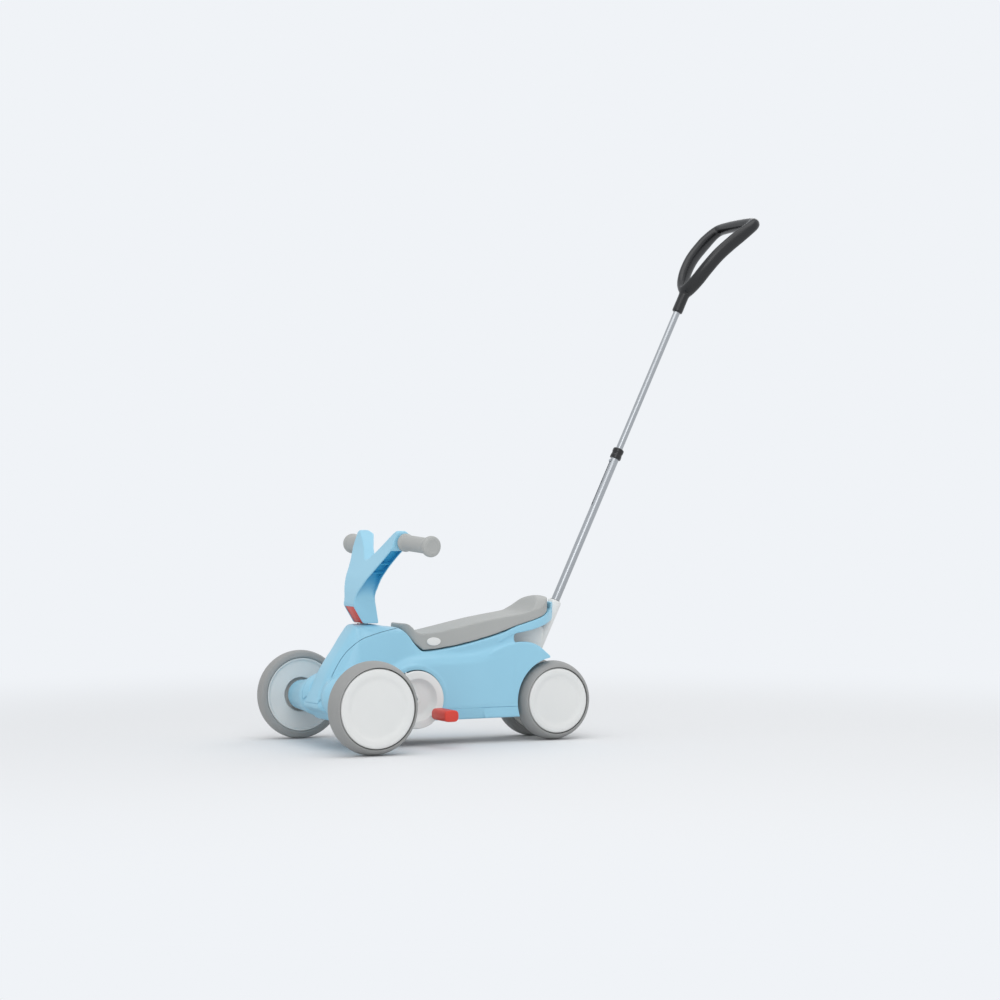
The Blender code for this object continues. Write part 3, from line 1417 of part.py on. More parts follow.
def build_all():
    left_shell = build_side_shell()
    right_shell = mirrored(left_shell, "right_body_shell")
    cover = build_cover()
    seat, ovals = build_seat()
    tail_frame, sleeve = build_tail_frame()
    carry(ROOT, left_shell, right_shell, cover, seat, *ovals, tail_frame, sleeve)
    carry(ROOT, build_chassis(), build_belt(), *build_bushes())
    handlebar, trim = build_handlebar()
    carry(STEERING, handlebar, trim, *build_grips(), *build_column())
    carry(ROD_SLIDE, build_track_rod())
    for side, sign in (("left", 1), ("right", -1)):
        knuckle, kingpin = build_knuckle(side, sign)
        carry(ROOT, kingpin)
        carry(KINGPINS[side], knuckle, build_retainer(side, sign))
        carry(FRONT_SPINS[side], *build_front_wheel(side, sign))
        hinge = axis_empty(f"{side}_pedal_hinge", pedal_hinge(sign), CRANK)
        spindle, block = build_pedal(side, sign)
        carry(hinge, spindle)
        carry(axis_empty(f"{side}_pedal_axis", pedal_hinge(sign), hinge), block)
    carry(REAR_SPIN, *build_rear_axle())
    carry(CRANK, *build_crank())
    lower, collar, upper, button = build_push_bar()
    carry(PUSH_BAR, lower, collar)
    carry(UPPER_BAR, upper, build_handle())
    carry(BUTTON, button)


def centre_on_origin():
    """Moves the root so that the model's box is centred over the origin."""
    bpy.context.view_layer.update()
    low, high = math.inf, -math.inf
    for piece in COLLECTION.objects:
        if piece.type == "MESH":
            for vertex in piece.data.vertices:
                x = (piece.matrix_world @ vertex.co).x
                low, high = min(low, x), max(high, x)
    ROOT.location.x = -(low + high) / 2


build_all()
centre_on_origin()
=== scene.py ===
"""Child's four-wheeled ride-on with folding pedals, belt drive and a telescopic push bar.

Lengths along X are laid out from the rear axle, as on a side view of the toy, and each finished piece is
then set where the frame has that axle. Y is to the rider's left and Z is up, all in metres.
"""

import json
import math

import bmesh
import bpy
from mathutils import Matrix, Vector
from mathutils.bvhtree import BVHTree


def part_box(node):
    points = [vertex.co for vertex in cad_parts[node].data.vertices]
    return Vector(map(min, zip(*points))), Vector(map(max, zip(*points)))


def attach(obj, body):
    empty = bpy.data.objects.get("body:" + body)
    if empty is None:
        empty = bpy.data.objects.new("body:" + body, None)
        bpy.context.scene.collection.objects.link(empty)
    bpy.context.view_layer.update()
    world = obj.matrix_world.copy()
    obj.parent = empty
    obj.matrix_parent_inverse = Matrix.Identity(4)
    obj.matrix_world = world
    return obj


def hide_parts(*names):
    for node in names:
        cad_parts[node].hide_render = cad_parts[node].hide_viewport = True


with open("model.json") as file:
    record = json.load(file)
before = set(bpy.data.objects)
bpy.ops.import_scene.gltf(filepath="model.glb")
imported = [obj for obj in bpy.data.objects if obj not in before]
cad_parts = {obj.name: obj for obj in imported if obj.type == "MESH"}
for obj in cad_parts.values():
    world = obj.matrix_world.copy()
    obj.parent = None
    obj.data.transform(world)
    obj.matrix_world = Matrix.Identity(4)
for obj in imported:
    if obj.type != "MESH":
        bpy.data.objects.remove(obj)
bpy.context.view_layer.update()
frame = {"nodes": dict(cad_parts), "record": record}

REAR_AXLE_X = sum(corner.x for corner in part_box("rear_axle")) / 2

GAP = 0.0003
RUNNING = 0.0002
WALL = 0.003

WHEELBASE = 0.423
FRONT_TRACK = 0.36
REAR_TRACK = 0.094
TYRE_WIDTH = 0.04
FRONT_RADIUS, FRONT_LIP = 0.083, 0.071
REAR_RADIUS, REAR_LIP = 0.074, 0.0612
DRUM_STEP = 0.0028
CAP_SEAT = TYRE_WIDTH / 2 - 0.0085
AXLE_RADIUS = 0.004
CRANK_AXLE_RADIUS = 0.006
BUSH_WALL = 0.002
HUB_RADIUS = 0.0115
KINGPIN_Y = FRONT_TRACK / 2 - 0.008
KNUCKLE_REACH = 0.0213
# How far the column reaches up into the foot, which is thin above that
COLUMN_TOP = 0.022
COLUMN_FOOT = -0.144
COLUMN_RADIUS = 0.007

BODY_REAR = 0.086
BODY_BOTTOM = 0.045
ARCH_GAP = 0.0075
SEAM = 0.00045
FRAME_HALF_WIDTH = 0.0235
HEAD_TUBE_RADIUS = 0.0131
FENDER_INNER, FENDER_OUTER = 0.03, 0.0597
CHIN = 0.0014
CHIN_START = 0.398

STEERING_TILT = math.radians(12.0)
POLE_LEAN = math.radians(25.5)
LOWER_TUBE_LENGTH, POLE_TOP = 0.3115, 0.649
SNAP_HOLE, SNAP_STEP, SNAP_RADIUS = 0.2925, 0.0455, 0.0032
TUBE_WALL = 0.0012
LOWER_TUBE_RADIUS, UPPER_TUBE_RADIUS = 0.008, 0.0065
SOCKET_BORE, SOCKET_RADIUS, SOCKET_DEPTH = 0.0103, 0.013, 0.085
CRANK_ANGLE = math.radians(143.7)
CRANK_DISC_RADIUS = 0.053
PEDAL_HINGE_OUT, PEDAL_HINGE_SIDE, SPINDLE_LENGTH = 0.042, 0.077, 0.0615

UP = Vector((0, 0, 1))
LEFT = Vector((0, 1, 0))
FORWARD = Vector((1, 0, 0))
FRONT_AXLE = Vector((WHEELBASE, 0, FRONT_RADIUS))
REAR_AXLE = Vector((0, 0, REAR_RADIUS))
CRANK = Vector((0.2896, 0, 0.085))
CRANK_OUT = Vector((math.cos(CRANK_ANGLE), 0, -math.sin(CRANK_ANGLE)))
CRANK_ACROSS = Vector((math.sin(CRANK_ANGLE), 0, math.cos(CRANK_ANGLE)))
HEAD = Vector((0.366, 0, 0.2225))
STEERING_AXIS = Vector((-math.sin(STEERING_TILT), 0, math.cos(STEERING_TILT)))
STEERING_FRONT = Vector((math.cos(STEERING_TILT), 0, math.sin(STEERING_TILT)))
POLE_BASE = Vector((-0.027, 0, 0.258))
POLE_AXIS = Vector((-math.sin(POLE_LEAN), 0, math.cos(POLE_LEAN)))
POLE_FRONT = Vector((math.cos(POLE_LEAN), 0, math.sin(POLE_LEAN)))
SIDES = (("left", 1), ("right", -1))

SIDE_VIEW = Matrix(((1, 0, 0, 0), (0, 0, 1, 0), (0, 1, 0, 0), (0, 0, 0, 1)))
FRONT_VIEW = Matrix(((0, 0, 1, 0), (1, 0, 0, 0), (0, 1, 0, 0), (0, 0, 0, 1)))
PLAN_VIEW = Matrix.Identity(4)


# Outlines


def softened(points, radius, closed=True, steps=5):
    """The outline with its corners rounded, by one radius or by one for each corner."""
    points = [Vector(p) for p in points]
    count = len(points)
    radii = radius if isinstance(radius, (list, tuple)) else [radius] * count
    result = []
    for index, here in enumerate(points):
        if not radii[index] or (not closed and index in (0, count - 1)):
            result.append(here)
            continue
        before, after = points[index - 1], points[(index + 1) % count]
        reach_back = min(radii[index], (before - here).length * 0.48)
        reach_on = min(radii[index], (after - here).length * 0.48)
        start = here + (before - here).normalized() * reach_back
        end = here + (after - here).normalized() * reach_on
        for step in range(steps + 1):
            t = step / steps
            result.append(start * (1 - t) ** 2 + here * 2 * t * (1 - t) + end * t ** 2)
    return result


def flowing(points, steps, closed=False):
    """Points on one smooth curve through the given points."""
    points = [Vector(p) for p in points]
    count = len(points)
    result = []
    for index in range(count if closed else count - 1):
        b, c = points[index], points[(index + 1) % count]
        a = points[index - 1] if closed or index else b * 2 - c
        d = points[(index + 2) % count] if closed or index + 2 < count else c * 2 - b
        for step in range(steps):
            t = step / steps
            result.append(
                b + (c - a) * (t / 2) + (a * 2 - b * 5 + c * 4 - d) * (t * t / 2)
                + (b * 3 - a - c * 3 + d) * (t ** 3 / 2)
            )
    if not closed:
        result.append(points[-1])
    return result


def inset(outline, distance):
    """The closed outline moved inwards, with mitred corners."""
    points = [Vector(p) for p in outline]
    turn = sum(a.x * b.y - b.x * a.y for a, b in zip(points, points[1:] + points[:1]))
    side = 1 if turn > 0 else -1
    moved = []
    for before, here, after in zip(points[-1:] + points[:-1], points, points[1:] + points[:1]):
        first = (here - before).normalized()
        second = (after - here).normalized()
        normal = Vector((-first.y, first.x)) * side
        mitre = (normal + Vector((-second.y, second.x)) * side).normalized()
        moved.append(here + mitre * (distance / max(mitre.dot(normal), 0.35)))
    return moved


def arc(centre, radius, start, end, count):
    angles = [math.radians(start + (end - start) * i / count) for i in range(count + 1)]
    return [Vector((centre[0] + radius * math.cos(a), centre[1] + radius * math.sin(a))) for a in angles]


def both_sides(half):
    return list(half) + [(x, -y) for x, y in reversed(half) if abs(y) > 1e-9]


def left_and_right(half):
    """An outline seen from the front, from its left half, whose last point lies on the middle line."""
    return list(half) + [(-y, z) for y, z in reversed(half[:-1])]


def basis(origin, axis, start=FORWARD):
    """A placement whose local Z lies along the axis, and local X as near start as it can be."""
    z = Vector(axis).normalized()
    x = (start - z * start.dot(z)).normalized()
    matrix = Matrix((x, z.cross(x), z)).transposed().to_4x4()
    matrix.translation = origin
    return matrix


# Shapes, each returned as a bmesh


def line_of(work, points, closed):
    verts = [work.verts.new(p) for p in points]
    pairs = list(zip(verts, verts[1:])) + ([(verts[-1], verts[0])] if closed else [])
    return verts, [work.edges.new(pair) for pair in pairs]


def closed_up(work):
    bmesh.ops.remove_doubles(work, verts=work.verts, dist=1e-6)
    bmesh.ops.recalc_face_normals(work, faces=work.faces)
    return work


def turned(profile, origin, axis, ring=False, steps=96, start=FORWARD):
    """A profile of (radius, height) points turned about the axis through the origin."""
    work = bmesh.new()
    verts, edges = line_of(work, [(max(p[0], 0.0), 0, p[1]) for p in profile], ring)
    bmesh.ops.spin(work, geom=verts + edges, cent=(0, 0, 0), axis=(0, 0, 1), dvec=(0, 0, 0),
                   angle=2 * math.pi, steps=steps, use_merge=True)
    bmesh.ops.transform(work, matrix=basis(origin, axis, start), verts=work.verts)
    return closed_up(work)


def lathed(profile, edge, origin, axis, steps=96, start=FORWARD):
    """A solid turned piece, whose profile runs from the axis to the axis and has its corners broken."""
    return turned(softened(profile, edge, closed=False, steps=3), origin, axis, steps=steps, start=start)


def rod(origin, axis, low, high, radius, edge=0.0003, steps=48, start=FORWARD):
    return lathed([(0, low), (radius, low), (radius, high), (0, high)], edge, origin, axis, steps, start)


def pipe(origin, axis, low, high, inner, outer, edge=0.0003, steps=48):
    profile = [(inner, high), (outer, high), (outer, low), (inner, low)]
    return turned(softened(profile, edge, steps=3), origin, axis, ring=True, steps=steps)


def slab(outline, low, high, placement, edge=0.0, rounds=3, only_high=False):
    """A flat outline filled and extruded, with its two rims rounded by edge."""
    work = bmesh.new()
    _, edges = line_of(work, [(p[0], p[1], low) for p in outline], True)
    face = bmesh.ops.contextual_create(work, geom=edges)["faces"]
    raised = bmesh.ops.extrude_face_region(work, geom=face)["geom"]
    top = [v for v in raised if isinstance(v, bmesh.types.BMVert)]
    bmesh.ops.translate(work, verts=top, vec=(0, 0, high - low))
    if edge:
        levels = (high,) if only_high else (low, high)
        rims = [e for e in work.edges if any(all(abs(v.co.z - z) < 1e-7 for v in e.verts) for z in levels)]
        bmesh.ops.bevel(work, geom=rims, offset=edge, offset_type="OFFSET", affect="EDGES",
                        segments=rounds, profile=0.5, material=-1, clamp_overlap=True)
    bmesh.ops.transform(work, matrix=placement, verts=work.verts)
    return closed_up(work)


def block(low, high, edge=0.0, rounds=3):
    work = bmesh.new()
    bmesh.ops.create_cube(work, size=1.0)
    low, high = Vector(low), Vector(high)
    bmesh.ops.scale(work, verts=work.verts, vec=high - low)
    bmesh.ops.translate(work, verts=work.verts, vec=(high + low) / 2)
    if edge:
        bmesh.ops.bevel(work, geom=work.edges[:], offset=edge, offset_type="OFFSET", affect="EDGES",
                        segments=rounds, profile=0.5, material=-1, clamp_overlap=True)
    return work


def skinned(rings, endless=False):
    """A skin bridged over rings, with filled ends or joined end to end."""
    work = bmesh.new()
    loops = [line_of(work, ring, True)[1] for ring in rings]
    for first, second in zip(loops, loops[1:] + (loops[:1] if endless else [])):
        bmesh.ops.bridge_loops(work, edges=first + second)
    if not endless:
        for loop in (loops[0], loops[-1]):
            bmesh.ops.contextual_create(work, geom=loop)
    return closed_up(work)


# Working on shapes


def as_object(work, name):
    mesh = bpy.data.meshes.new(name)
    work.to_mesh(mesh)
    work.free()
    obj = bpy.data.objects.new(name, mesh)
    bpy.context.scene.collection.objects.link(obj)
    return obj


def discard(obj):
    mesh = obj.data
    bpy.data.objects.remove(obj)
    bpy.data.meshes.remove(mesh)


def settled(obj):
    """The object's shape after its modifiers, as a bmesh; the object itself goes."""
    bpy.context.view_layer.update()
    graph = bpy.context.evaluated_depsgraph_get()
    mesh = bpy.data.meshes.new_from_object(obj.evaluated_get(graph), depsgraph=graph)
    work = bmesh.new()
    work.from_mesh(mesh)
    bpy.data.meshes.remove(mesh)
    discard(obj)
    return work


def combine(work, operation, *others):
    for other in others:
        target, tool = as_object(work, "target"), as_object(other, "tool")
        modifier = target.modifiers.new("combine", "BOOLEAN")
        modifier.operation = operation
        modifier.object = tool
        modifier.solver = "MANIFOLD"
        work = settled(target)
        discard(tool)
    return work


def cut(work, *others):
    return combine(work, "DIFFERENCE", *others)


def joined(work, *others):
    return combine(work, "UNION", *others)


def common(work, *others):
    return combine(work, "INTERSECT", *others)


def gathered(*parts):
    whole = bmesh.new()
    for part in parts:
        mesh = bpy.data.meshes.new("part")
        part.to_mesh(mesh)
        part.free()
        whole.from_mesh(mesh)
        bpy.data.meshes.remove(mesh)
    return whole


def moulded(grain, rounds, *parts):
    """Closed shapes run together into one skin, with the soft edges of a moulding."""
    obj = as_object(gathered(*parts), "moulding")
    skin = obj.modifiers.new("skin", "REMESH")
    skin.mode = "VOXEL"
    skin.voxel_size = grain
    work = settled(obj)
    for _ in range(rounds):
        bmesh.ops.smooth_vert(work, verts=work.verts, factor=0.5,
                              use_axis_x=True, use_axis_y=True, use_axis_z=True)
    return work


def flipped(work):
    """The same shape on the other side of the plane Y = 0."""
    other = work.copy()
    bmesh.ops.scale(other, verts=other.verts, vec=(1, -1, 1))
    bmesh.ops.reverse_faces(other, faces=other.faces)
    return other


def shown(work, name, body, slot, *nodes, sharp=38):
    """Sets the finished shape in the frame as a piece that rides on a body."""
    bmesh.ops.translate(work, verts=work.verts, vec=(REAR_AXLE_X, 0, 0))
    obj = as_object(work, name)
    obj.data.shade_smooth()
    obj.data.set_sharp_from_angle(angle=math.radians(sharp))
    obj.data.materials.append(FINISHES[slot])
    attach(obj, body)
    if nodes:
        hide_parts(*nodes)
    return obj


# Finishes


def linear(code):
    """A linear colour from an sRGB hex value."""
    parts = [int(code[i:i + 2], 16) / 255 for i in (1, 3, 5)]
    return [p / 12.92 if p <= 0.04045 else ((p + 0.055) / 1.055) ** 2.4 for p in parts] + [1.0]


def add(tree, kind, inputs=None, links=None, **settings):
    """Adds a node with its settings, its input values and its links, each as input: (node, output)."""
    made = tree.nodes.new(kind)
    for key, value in settings.items():
        setattr(made, key, value)
    for key, value in (inputs or {}).items():
        made.inputs[key].default_value = value
    for key, (source, output) in (links or {}).items():
        tree.links.new(source.outputs[output], made.inputs[key])
    return made


def blank(name):
    material = bpy.data.materials.new(name)
    material.use_nodes = True
    material.node_tree.nodes.clear()
    return material, material.node_tree


def surfaced(tree, constants, colours, mixing, relief, height, polish=None, shine=None):
    """Joins a finish's patterns to its shader: two colours, the relief and the range of roughness."""
    tint = add(tree, "ShaderNodeMix", {6: linear(colours[0]), 7: linear(colours[1])}, {0: mixing},
               data_type="RGBA")
    bump = add(tree, "ShaderNodeBump", {"Strength": relief[0], "Distance": relief[1]}, {"Height": height})
    links = {"Base Color": (tint, 2), "Normal": (bump, "Normal")}
    if polish:
        rough = add(tree, "ShaderNodeMapRange", {"To Min": polish[0], "To Max": polish[1]}, {"Value": shine})
        links["Roughness"] = (rough, "Result")
    shader = add(tree, "ShaderNodeBsdfPrincipled", constants, links)
    add(tree, "ShaderNodeOutputMaterial", None, {"Surface": (shader, "BSDF")})
    return shader, tint


def in_piece(tree):
    """A pattern's link to the piece's own coordinates."""
    return {"Vector": (add(tree, "ShaderNodeTexCoord"), "Object")}


def noise(tree, scale, detail, roughness=0.5):
    settings = {"Scale": scale, "Detail": detail, "Roughness": roughness}
    return add(tree, "ShaderNodeTexNoise", settings, in_piece(tree))


def moulded_plastic(name, colour, shade, gloss, grain_mm, depth_mm, ior):
    """Injection moulded plastic: an even colour that drifts a little over a hand's width, and the fine
    spark-eroded grain of the mould, which breaks up the highlights."""
    material, tree = blank(name)
    drift = noise(tree, 11.0, 2.0)
    grain = noise(tree, 1000.0 / grain_mm, 3.0, 0.6)
    surfaced(tree, {"IOR": ior}, (colour, shade), (drift, "Fac"), (0.35, depth_mm / 1000.0), (grain, "Fac"),
             (gloss - 0.05, gloss + 0.07), (grain, "Fac"))
    return material


def hollow_blue_painted_shade(name):
    """Injection moulded ABS in the hollows behind the handlebar arms, with painted shade: a deeper blue that
    stands in for the shade in the hollows, and pales into the shell's blue where the hollow runs out in the
    foot."""
    material, tree = blank(name)
    drift = noise(tree, 11.0, 2.0)
    grain = noise(tree, 1000.0 / 1.4, 3.0, 0.6)
    shader, deep = surfaced(tree, {"IOR": 1.54}, ("#3BA6D4", "#349DCB"), (drift, "Fac"), (0.35, 0.00005),
                            (grain, "Fac"), (0.35, 0.47), (grain, "Fac"))
    # Painted shade: by height, the deeper blue fills the arms' hollows and pales into the shell's blue low in
    # the foot
    height = add(tree, "ShaderNodeSeparateXYZ", None, in_piece(tree))
    depth = add(tree, "ShaderNodeMapRange", {"From Min": 0.266, "From Max": 0.312}, {"Value": (height, "Z")},
                interpolation_type="SMOOTHSTEP")
    painted_shade_mix = add(tree, "ShaderNodeMix", {6: linear("#95CCE3")}, {0: (depth, "Result"), 7: (deep, 2)},
                data_type="RGBA")
    tree.links.new(painted_shade_mix.outputs[2], shader.inputs["Base Color"])
    return material


def foamed_rubber(name, colour, shade, pore_mm):
    """Foamed EVA tyre: matt, with closed pores about 0.8 mm across, drawn at 1.6 mm so that they show, and
    a dust of wear that lightens it in patches."""
    material, tree = blank(name)
    patches = noise(tree, 28.0, 4.0, 0.6)
    pores = add(tree, "ShaderNodeTexVoronoi", {"Scale": 1000.0 / pore_mm}, in_piece(tree),
                feature="SMOOTH_F1")
    surfaced(tree, {"IOR": 1.5}, (shade, colour), (patches, "Fac"), (0.5, 0.00012), (pores, "Distance"),
             (0.62, 0.8), (patches, "Fac"))
    return material


def soft_grained(name, colour, shade):
    """Thermoplastic rubber skin: a fine leather grain, cells about 1 mm drawn at 1.4 mm so that they show,
    and a low, wide highlight."""
    material, tree = blank(name)
    drift = noise(tree, 16.0, 3.0)
    cells = add(tree, "ShaderNodeTexVoronoi", {"Scale": 1000.0 / 1.4}, in_piece(tree),
                feature="DISTANCE_TO_EDGE")
    creases = add(tree, "ShaderNodeMapRange", {"From Max": 0.18}, {"Value": (cells, "Distance")})
    surfaced(tree, {"IOR": 1.49}, (colour, shade), (drift, "Fac"), (0.3, 0.0001), (creases, "Result"),
             (0.62, 0.5), (creases, "Result"))
    return material


def drawn_aluminium(name, lean):
    """Drawn and satin anodised tube: fine die lines along its length, about 0.3 mm apart drawn at 0.8 mm,
    which stretch the highlight round the tube."""
    material, tree = blank(name)
    along = add(tree, "ShaderNodeMapping", {"Rotation": (0, -lean, 0), "Scale": (0.0008, 0.0008, 1.5)},
                in_piece(tree), vector_type="TEXTURE")
    lines = add(tree, "ShaderNodeTexNoise", {"Scale": 1.0, "Detail": 2.0}, {"Vector": (along, "Vector")})
    surfaced(tree, {"Metallic": 1.0}, ("#AEB1B4", "#AAADB0"), (lines, "Fac"), (0.04, 0.00001),
             (lines, "Fac"), (0.27, 0.31), (lines, "Fac"))
    return material


def zinc_plated_steel(name):
    """Turned and zinc plated steel: a cool grey metal with the cloudy bloom of the plating bath."""
    material, tree = blank(name)
    bloom = noise(tree, 120.0, 5.0, 0.65)
    surfaced(tree, {"Metallic": 1.0}, ("#B7BBC0", "#9CA1A7"), (bloom, "Fac"), (0.2, 0.00004),
             (bloom, "Fac"), (0.28, 0.48), (bloom, "Fac"))
    return material


def ribbed_belt(name):
    """Moulded neoprene timing belt: matt black, with a 2 mm woven back that shows as cross lines."""
    material, tree = blank(name)
    weave = add(tree, "ShaderNodeTexWave", {"Scale": 160.0, "Distortion": 0.4, "Detail": 1.0},
                in_piece(tree), bands_direction="X")
    surfaced(tree, {"Roughness": 0.75, "IOR": 1.52}, ("#2B2B2C", "#363637"), (weave, "Fac"), (0.5, 0.0002),
             (weave, "Fac"))
    return material


# The plastics have a mould grain of 0.2 to 0.4 mm, drawn here at 1 to 1.6 mm so that it shows.
FINISHES = {
    # Sky blue ABS, satin: a soft, clear highlight over an even pale blue
    "blue_shell": moulded_plastic("satin_sky_blue_abs", "#99CFE6", "#92C9E1", 0.34, 1.4, 0.05, 1.54),
    # White polypropylene, satin: slightly warm, with a broad highlight
    "white_plastic": moulded_plastic("satin_white_polypropylene", "#E9EAE8", "#E0E2E1", 0.38, 1.2, 0.04,
                                     1.49),
    # Warm grey thermoplastic rubber on the seat and the grips
    "grey_soft_plastic": soft_grained("grained_grey_thermoplastic_rubber", "#AFB1AF", "#A7A9A7"),
    # Grey foamed EVA tyres
    "grey_tyre": foamed_rubber("grey_foamed_eva", "#A0A1A0", "#969796", 1.6),
    # Signal red ABS on the pedals and the foot of the handlebar
    "red_plastic": moulded_plastic("satin_signal_red_abs", "#DE3F2E", "#D33828", 0.34, 1.2, 0.05, 1.54),
    # Black glass-filled nylon on the loop handle and the collar, with a coarser grain
    "black_plastic": moulded_plastic("grained_black_nylon", "#0F1013", "#0B0C0E", 0.28, 1.6, 0.05, 1.53),
    # Dark grey glass-filled nylon on the hidden frame
    "dark_frame_plastic": moulded_plastic("grained_dark_nylon", "#5A5D60", "#515457", 0.5, 1.6, 0.08, 1.53),
    "steel": zinc_plated_steel("zinc_plated_steel"),
    "aluminium_tube": drawn_aluminium("satin_anodised_aluminium", POLE_LEAN),
    # Natural acetal bushes: waxy, nearly white
    "bush_plastic": moulded_plastic("natural_acetal", "#C6C5BE", "#BDBCB5", 0.4, 1.0, 0.02, 1.48),
    "belt_rubber": ribbed_belt("neoprene_timing_belt"),
}
# The hollows behind the handlebar's arms, in a deeper blue of the same ABS that is painted shade
HOLLOW_SHADE_BLUE = hollow_blue_painted_shade("satin_blue_abs_painted_hollow_shade")


# Body. Each station: x, top, half width of the top edge, its drop, waist half width, shoulder height,
# side half width, floor.

HULL_STATIONS = [
    (BODY_REAR, 0.2135, 0.0575, 0.002, 0.054, 0.183, 0.06, 0.045),
    (0.121, 0.201, 0.056, 0.002, 0.053, 0.173, 0.06, 0.045),
    (0.162, 0.19, 0.055, 0.002, 0.0525, 0.163, 0.0615, 0.045),
    (0.203, 0.181, 0.053, 0.002, 0.052, 0.159, 0.063, 0.045),
    (0.243, 0.175, 0.0515, 0.002, 0.052, 0.159, 0.064, 0.045),
    (0.268, 0.173, 0.05, 0.002, 0.052, 0.158, 0.064, 0.045),
    (0.283, 0.185, 0.049, 0.003, 0.052, 0.157, 0.064, 0.045),
    (0.3, 0.207, 0.048, 0.004, 0.052, 0.154, 0.064, 0.045),
    (0.312, 0.2155, 0.047, 0.005, 0.052, 0.15, 0.064, 0.045),
    (0.33, 0.2175, 0.044, 0.007, 0.052, 0.142, 0.064, 0.045),
    (0.35, 0.221, 0.04, 0.013, 0.052, 0.14, 0.062, 0.045),
    (0.372, 0.2222, 0.039, 0.021, 0.0515, 0.138, 0.06, 0.045),
    (0.39, 0.2222, 0.039, 0.03, 0.051, 0.136, 0.058, 0.045),
    (0.402, 0.209, 0.039, 0.03, 0.05, 0.134, 0.057, 0.045),
    (0.421, 0.18, 0.039, 0.03, 0.048, 0.122, 0.055, 0.046),
    (0.441, 0.151, 0.039, 0.03, 0.0465, 0.106, 0.0525, 0.049),
    (0.45, 0.134, 0.039, 0.028, 0.045, 0.098, 0.05, 0.058),
    (0.457, 0.116, 0.039, 0.024, 0.043, 0.09, 0.047, 0.0645),
    (0.464, 0.1, 0.038, 0.016, 0.041, 0.08, 0.043, 0.0685),
    (0.47, 0.083, 0.034, 0.002, 0.0345, 0.076, 0.035, 0.0735),
]


def eased(stations, steps):
    """Rows of numbers filled in smoothly along the first one, with no overshoot."""
    xs = [row[0] for row in stations]
    slopes = []
    for column in range(1, len(stations[0])):
        ys = [row[column] for row in stations]
        rise = [(b - a) / (d - c) for a, b, c, d in zip(ys, ys[1:], xs, xs[1:])]
        inner = [2 * p * q / (p + q) if p * q > 0 else 0.0 for p, q in zip(rise, rise[1:])]
        slopes.append([rise[0]] + inner + [rise[-1]])
    rows = []
    for index in range(len(stations) - 1):
        span = xs[index + 1] - xs[index]
        for step in range(steps):
            t = step / steps
            row = [xs[index] + span * t]
            for column, slope in enumerate(slopes, start=1):
                a, b = stations[index][column], stations[index + 1][column]
                row.append((2 * t ** 3 - 3 * t * t + 1) * a + (t ** 3 - 2 * t * t + t) * span * slope[index]
                           + (3 * t * t - 2 * t ** 3) * b + (t ** 3 - t * t) * span * slope[index + 1])
            rows.append(row)
    rows.append(list(stations[-1]))
    return rows


def hull_ring(station, wall):
    x, top, edge, drop, waist, shoulder, side, floor = station
    top, edge, waist, side = top - wall, edge - wall, waist - wall, side - wall
    waist_z = min(shoulder + 0.008, top - drop - 0.004)
    shoulder = min(shoulder, waist_z - 0.001)
    height = shoulder - floor
    # The hull is open below, but for the nose, whose chin is closed
    low = (floor + CHIN if x > CHIN_START else floor - 0.02) if wall else floor
    half = [
        (0.0, top), (edge * 0.62, top - drop * 0.06), (edge, top - drop), (waist, waist_z),
        (waist + (side - waist) * 0.6, shoulder), (side, shoulder - 0.1 * height),
        (side, floor + 0.2 * height),
        (side - 0.007, max(low, floor)), (side - (0.008 if wall else 0.012), low),
    ]
    rounding = [0, 0.012, 0.004, 0.004, 0.0025, 0.004, 0.006, 0.003, 0]
    half = softened([(y, z) for y, z in half], rounding, closed=False, steps=4)
    return [(x, p[0], p[1]) for p in half] + [(x, -p[0], p[1]) for p in reversed(half[1:])]


def hull(wall=0.0):
    stations = eased(HULL_STATIONS[:-1] if wall else HULL_STATIONS, 1 if wall else 4)
    rings = []
    for station in stations:
        ring = hull_ring(station, wall)
        shift = wall if station[0] == BODY_REAR else (-wall / 2 if station[0] > HEAD.x + 0.02 else 0.0)
        rings.append([(x + shift, y, z) for x, y, z in ring])
    return skinned(rings)


def fairing(sign, wall=0.0, run_out=False):
    """The arm of the body that reaches out over the front axle to a wheel."""
    middle, end = FRONT_RADIUS, 0.0275
    stations = [
        (0.03, 0.04, -0.085, middle + 0.058, middle - 0.034),
        (0.055, 0.047, -0.075, middle + 0.052, middle - 0.036),
        (0.08, 0.043, -0.06, middle + 0.043, middle - 0.034),
        (0.11, 0.036, -0.046, middle + 0.035, middle - 0.031),
        (0.14, 0.03, -0.034, middle + 0.03, middle - 0.029),
        (KINGPIN_Y - 0.006, end, -end, middle + end, middle - end),
    ]
    if run_out:
        stations[0] = (0.026, *stations[0][1:])
        stations.append((KINGPIN_Y + 0.014, *stations[-1][1:]))
    rings = []
    for y, front, rear, top, bottom in eased(stations, 1 if wall else 6):
        centre = Vector((WHEELBASE + (front + rear) / 2, (top + bottom) / 2))
        half_x, half_z = (front - rear) / 2 - wall, (top - bottom) / 2 - wall
        circle = arc((0, 0), 1, 0, 330, 11) if wall else arc((0, 0), 1, 0, 355, 71)
        rings.append([(centre.x + half_x * p.x, y * sign, centre.y + half_z * p.y) for p in circle])
    return skinned(rings)


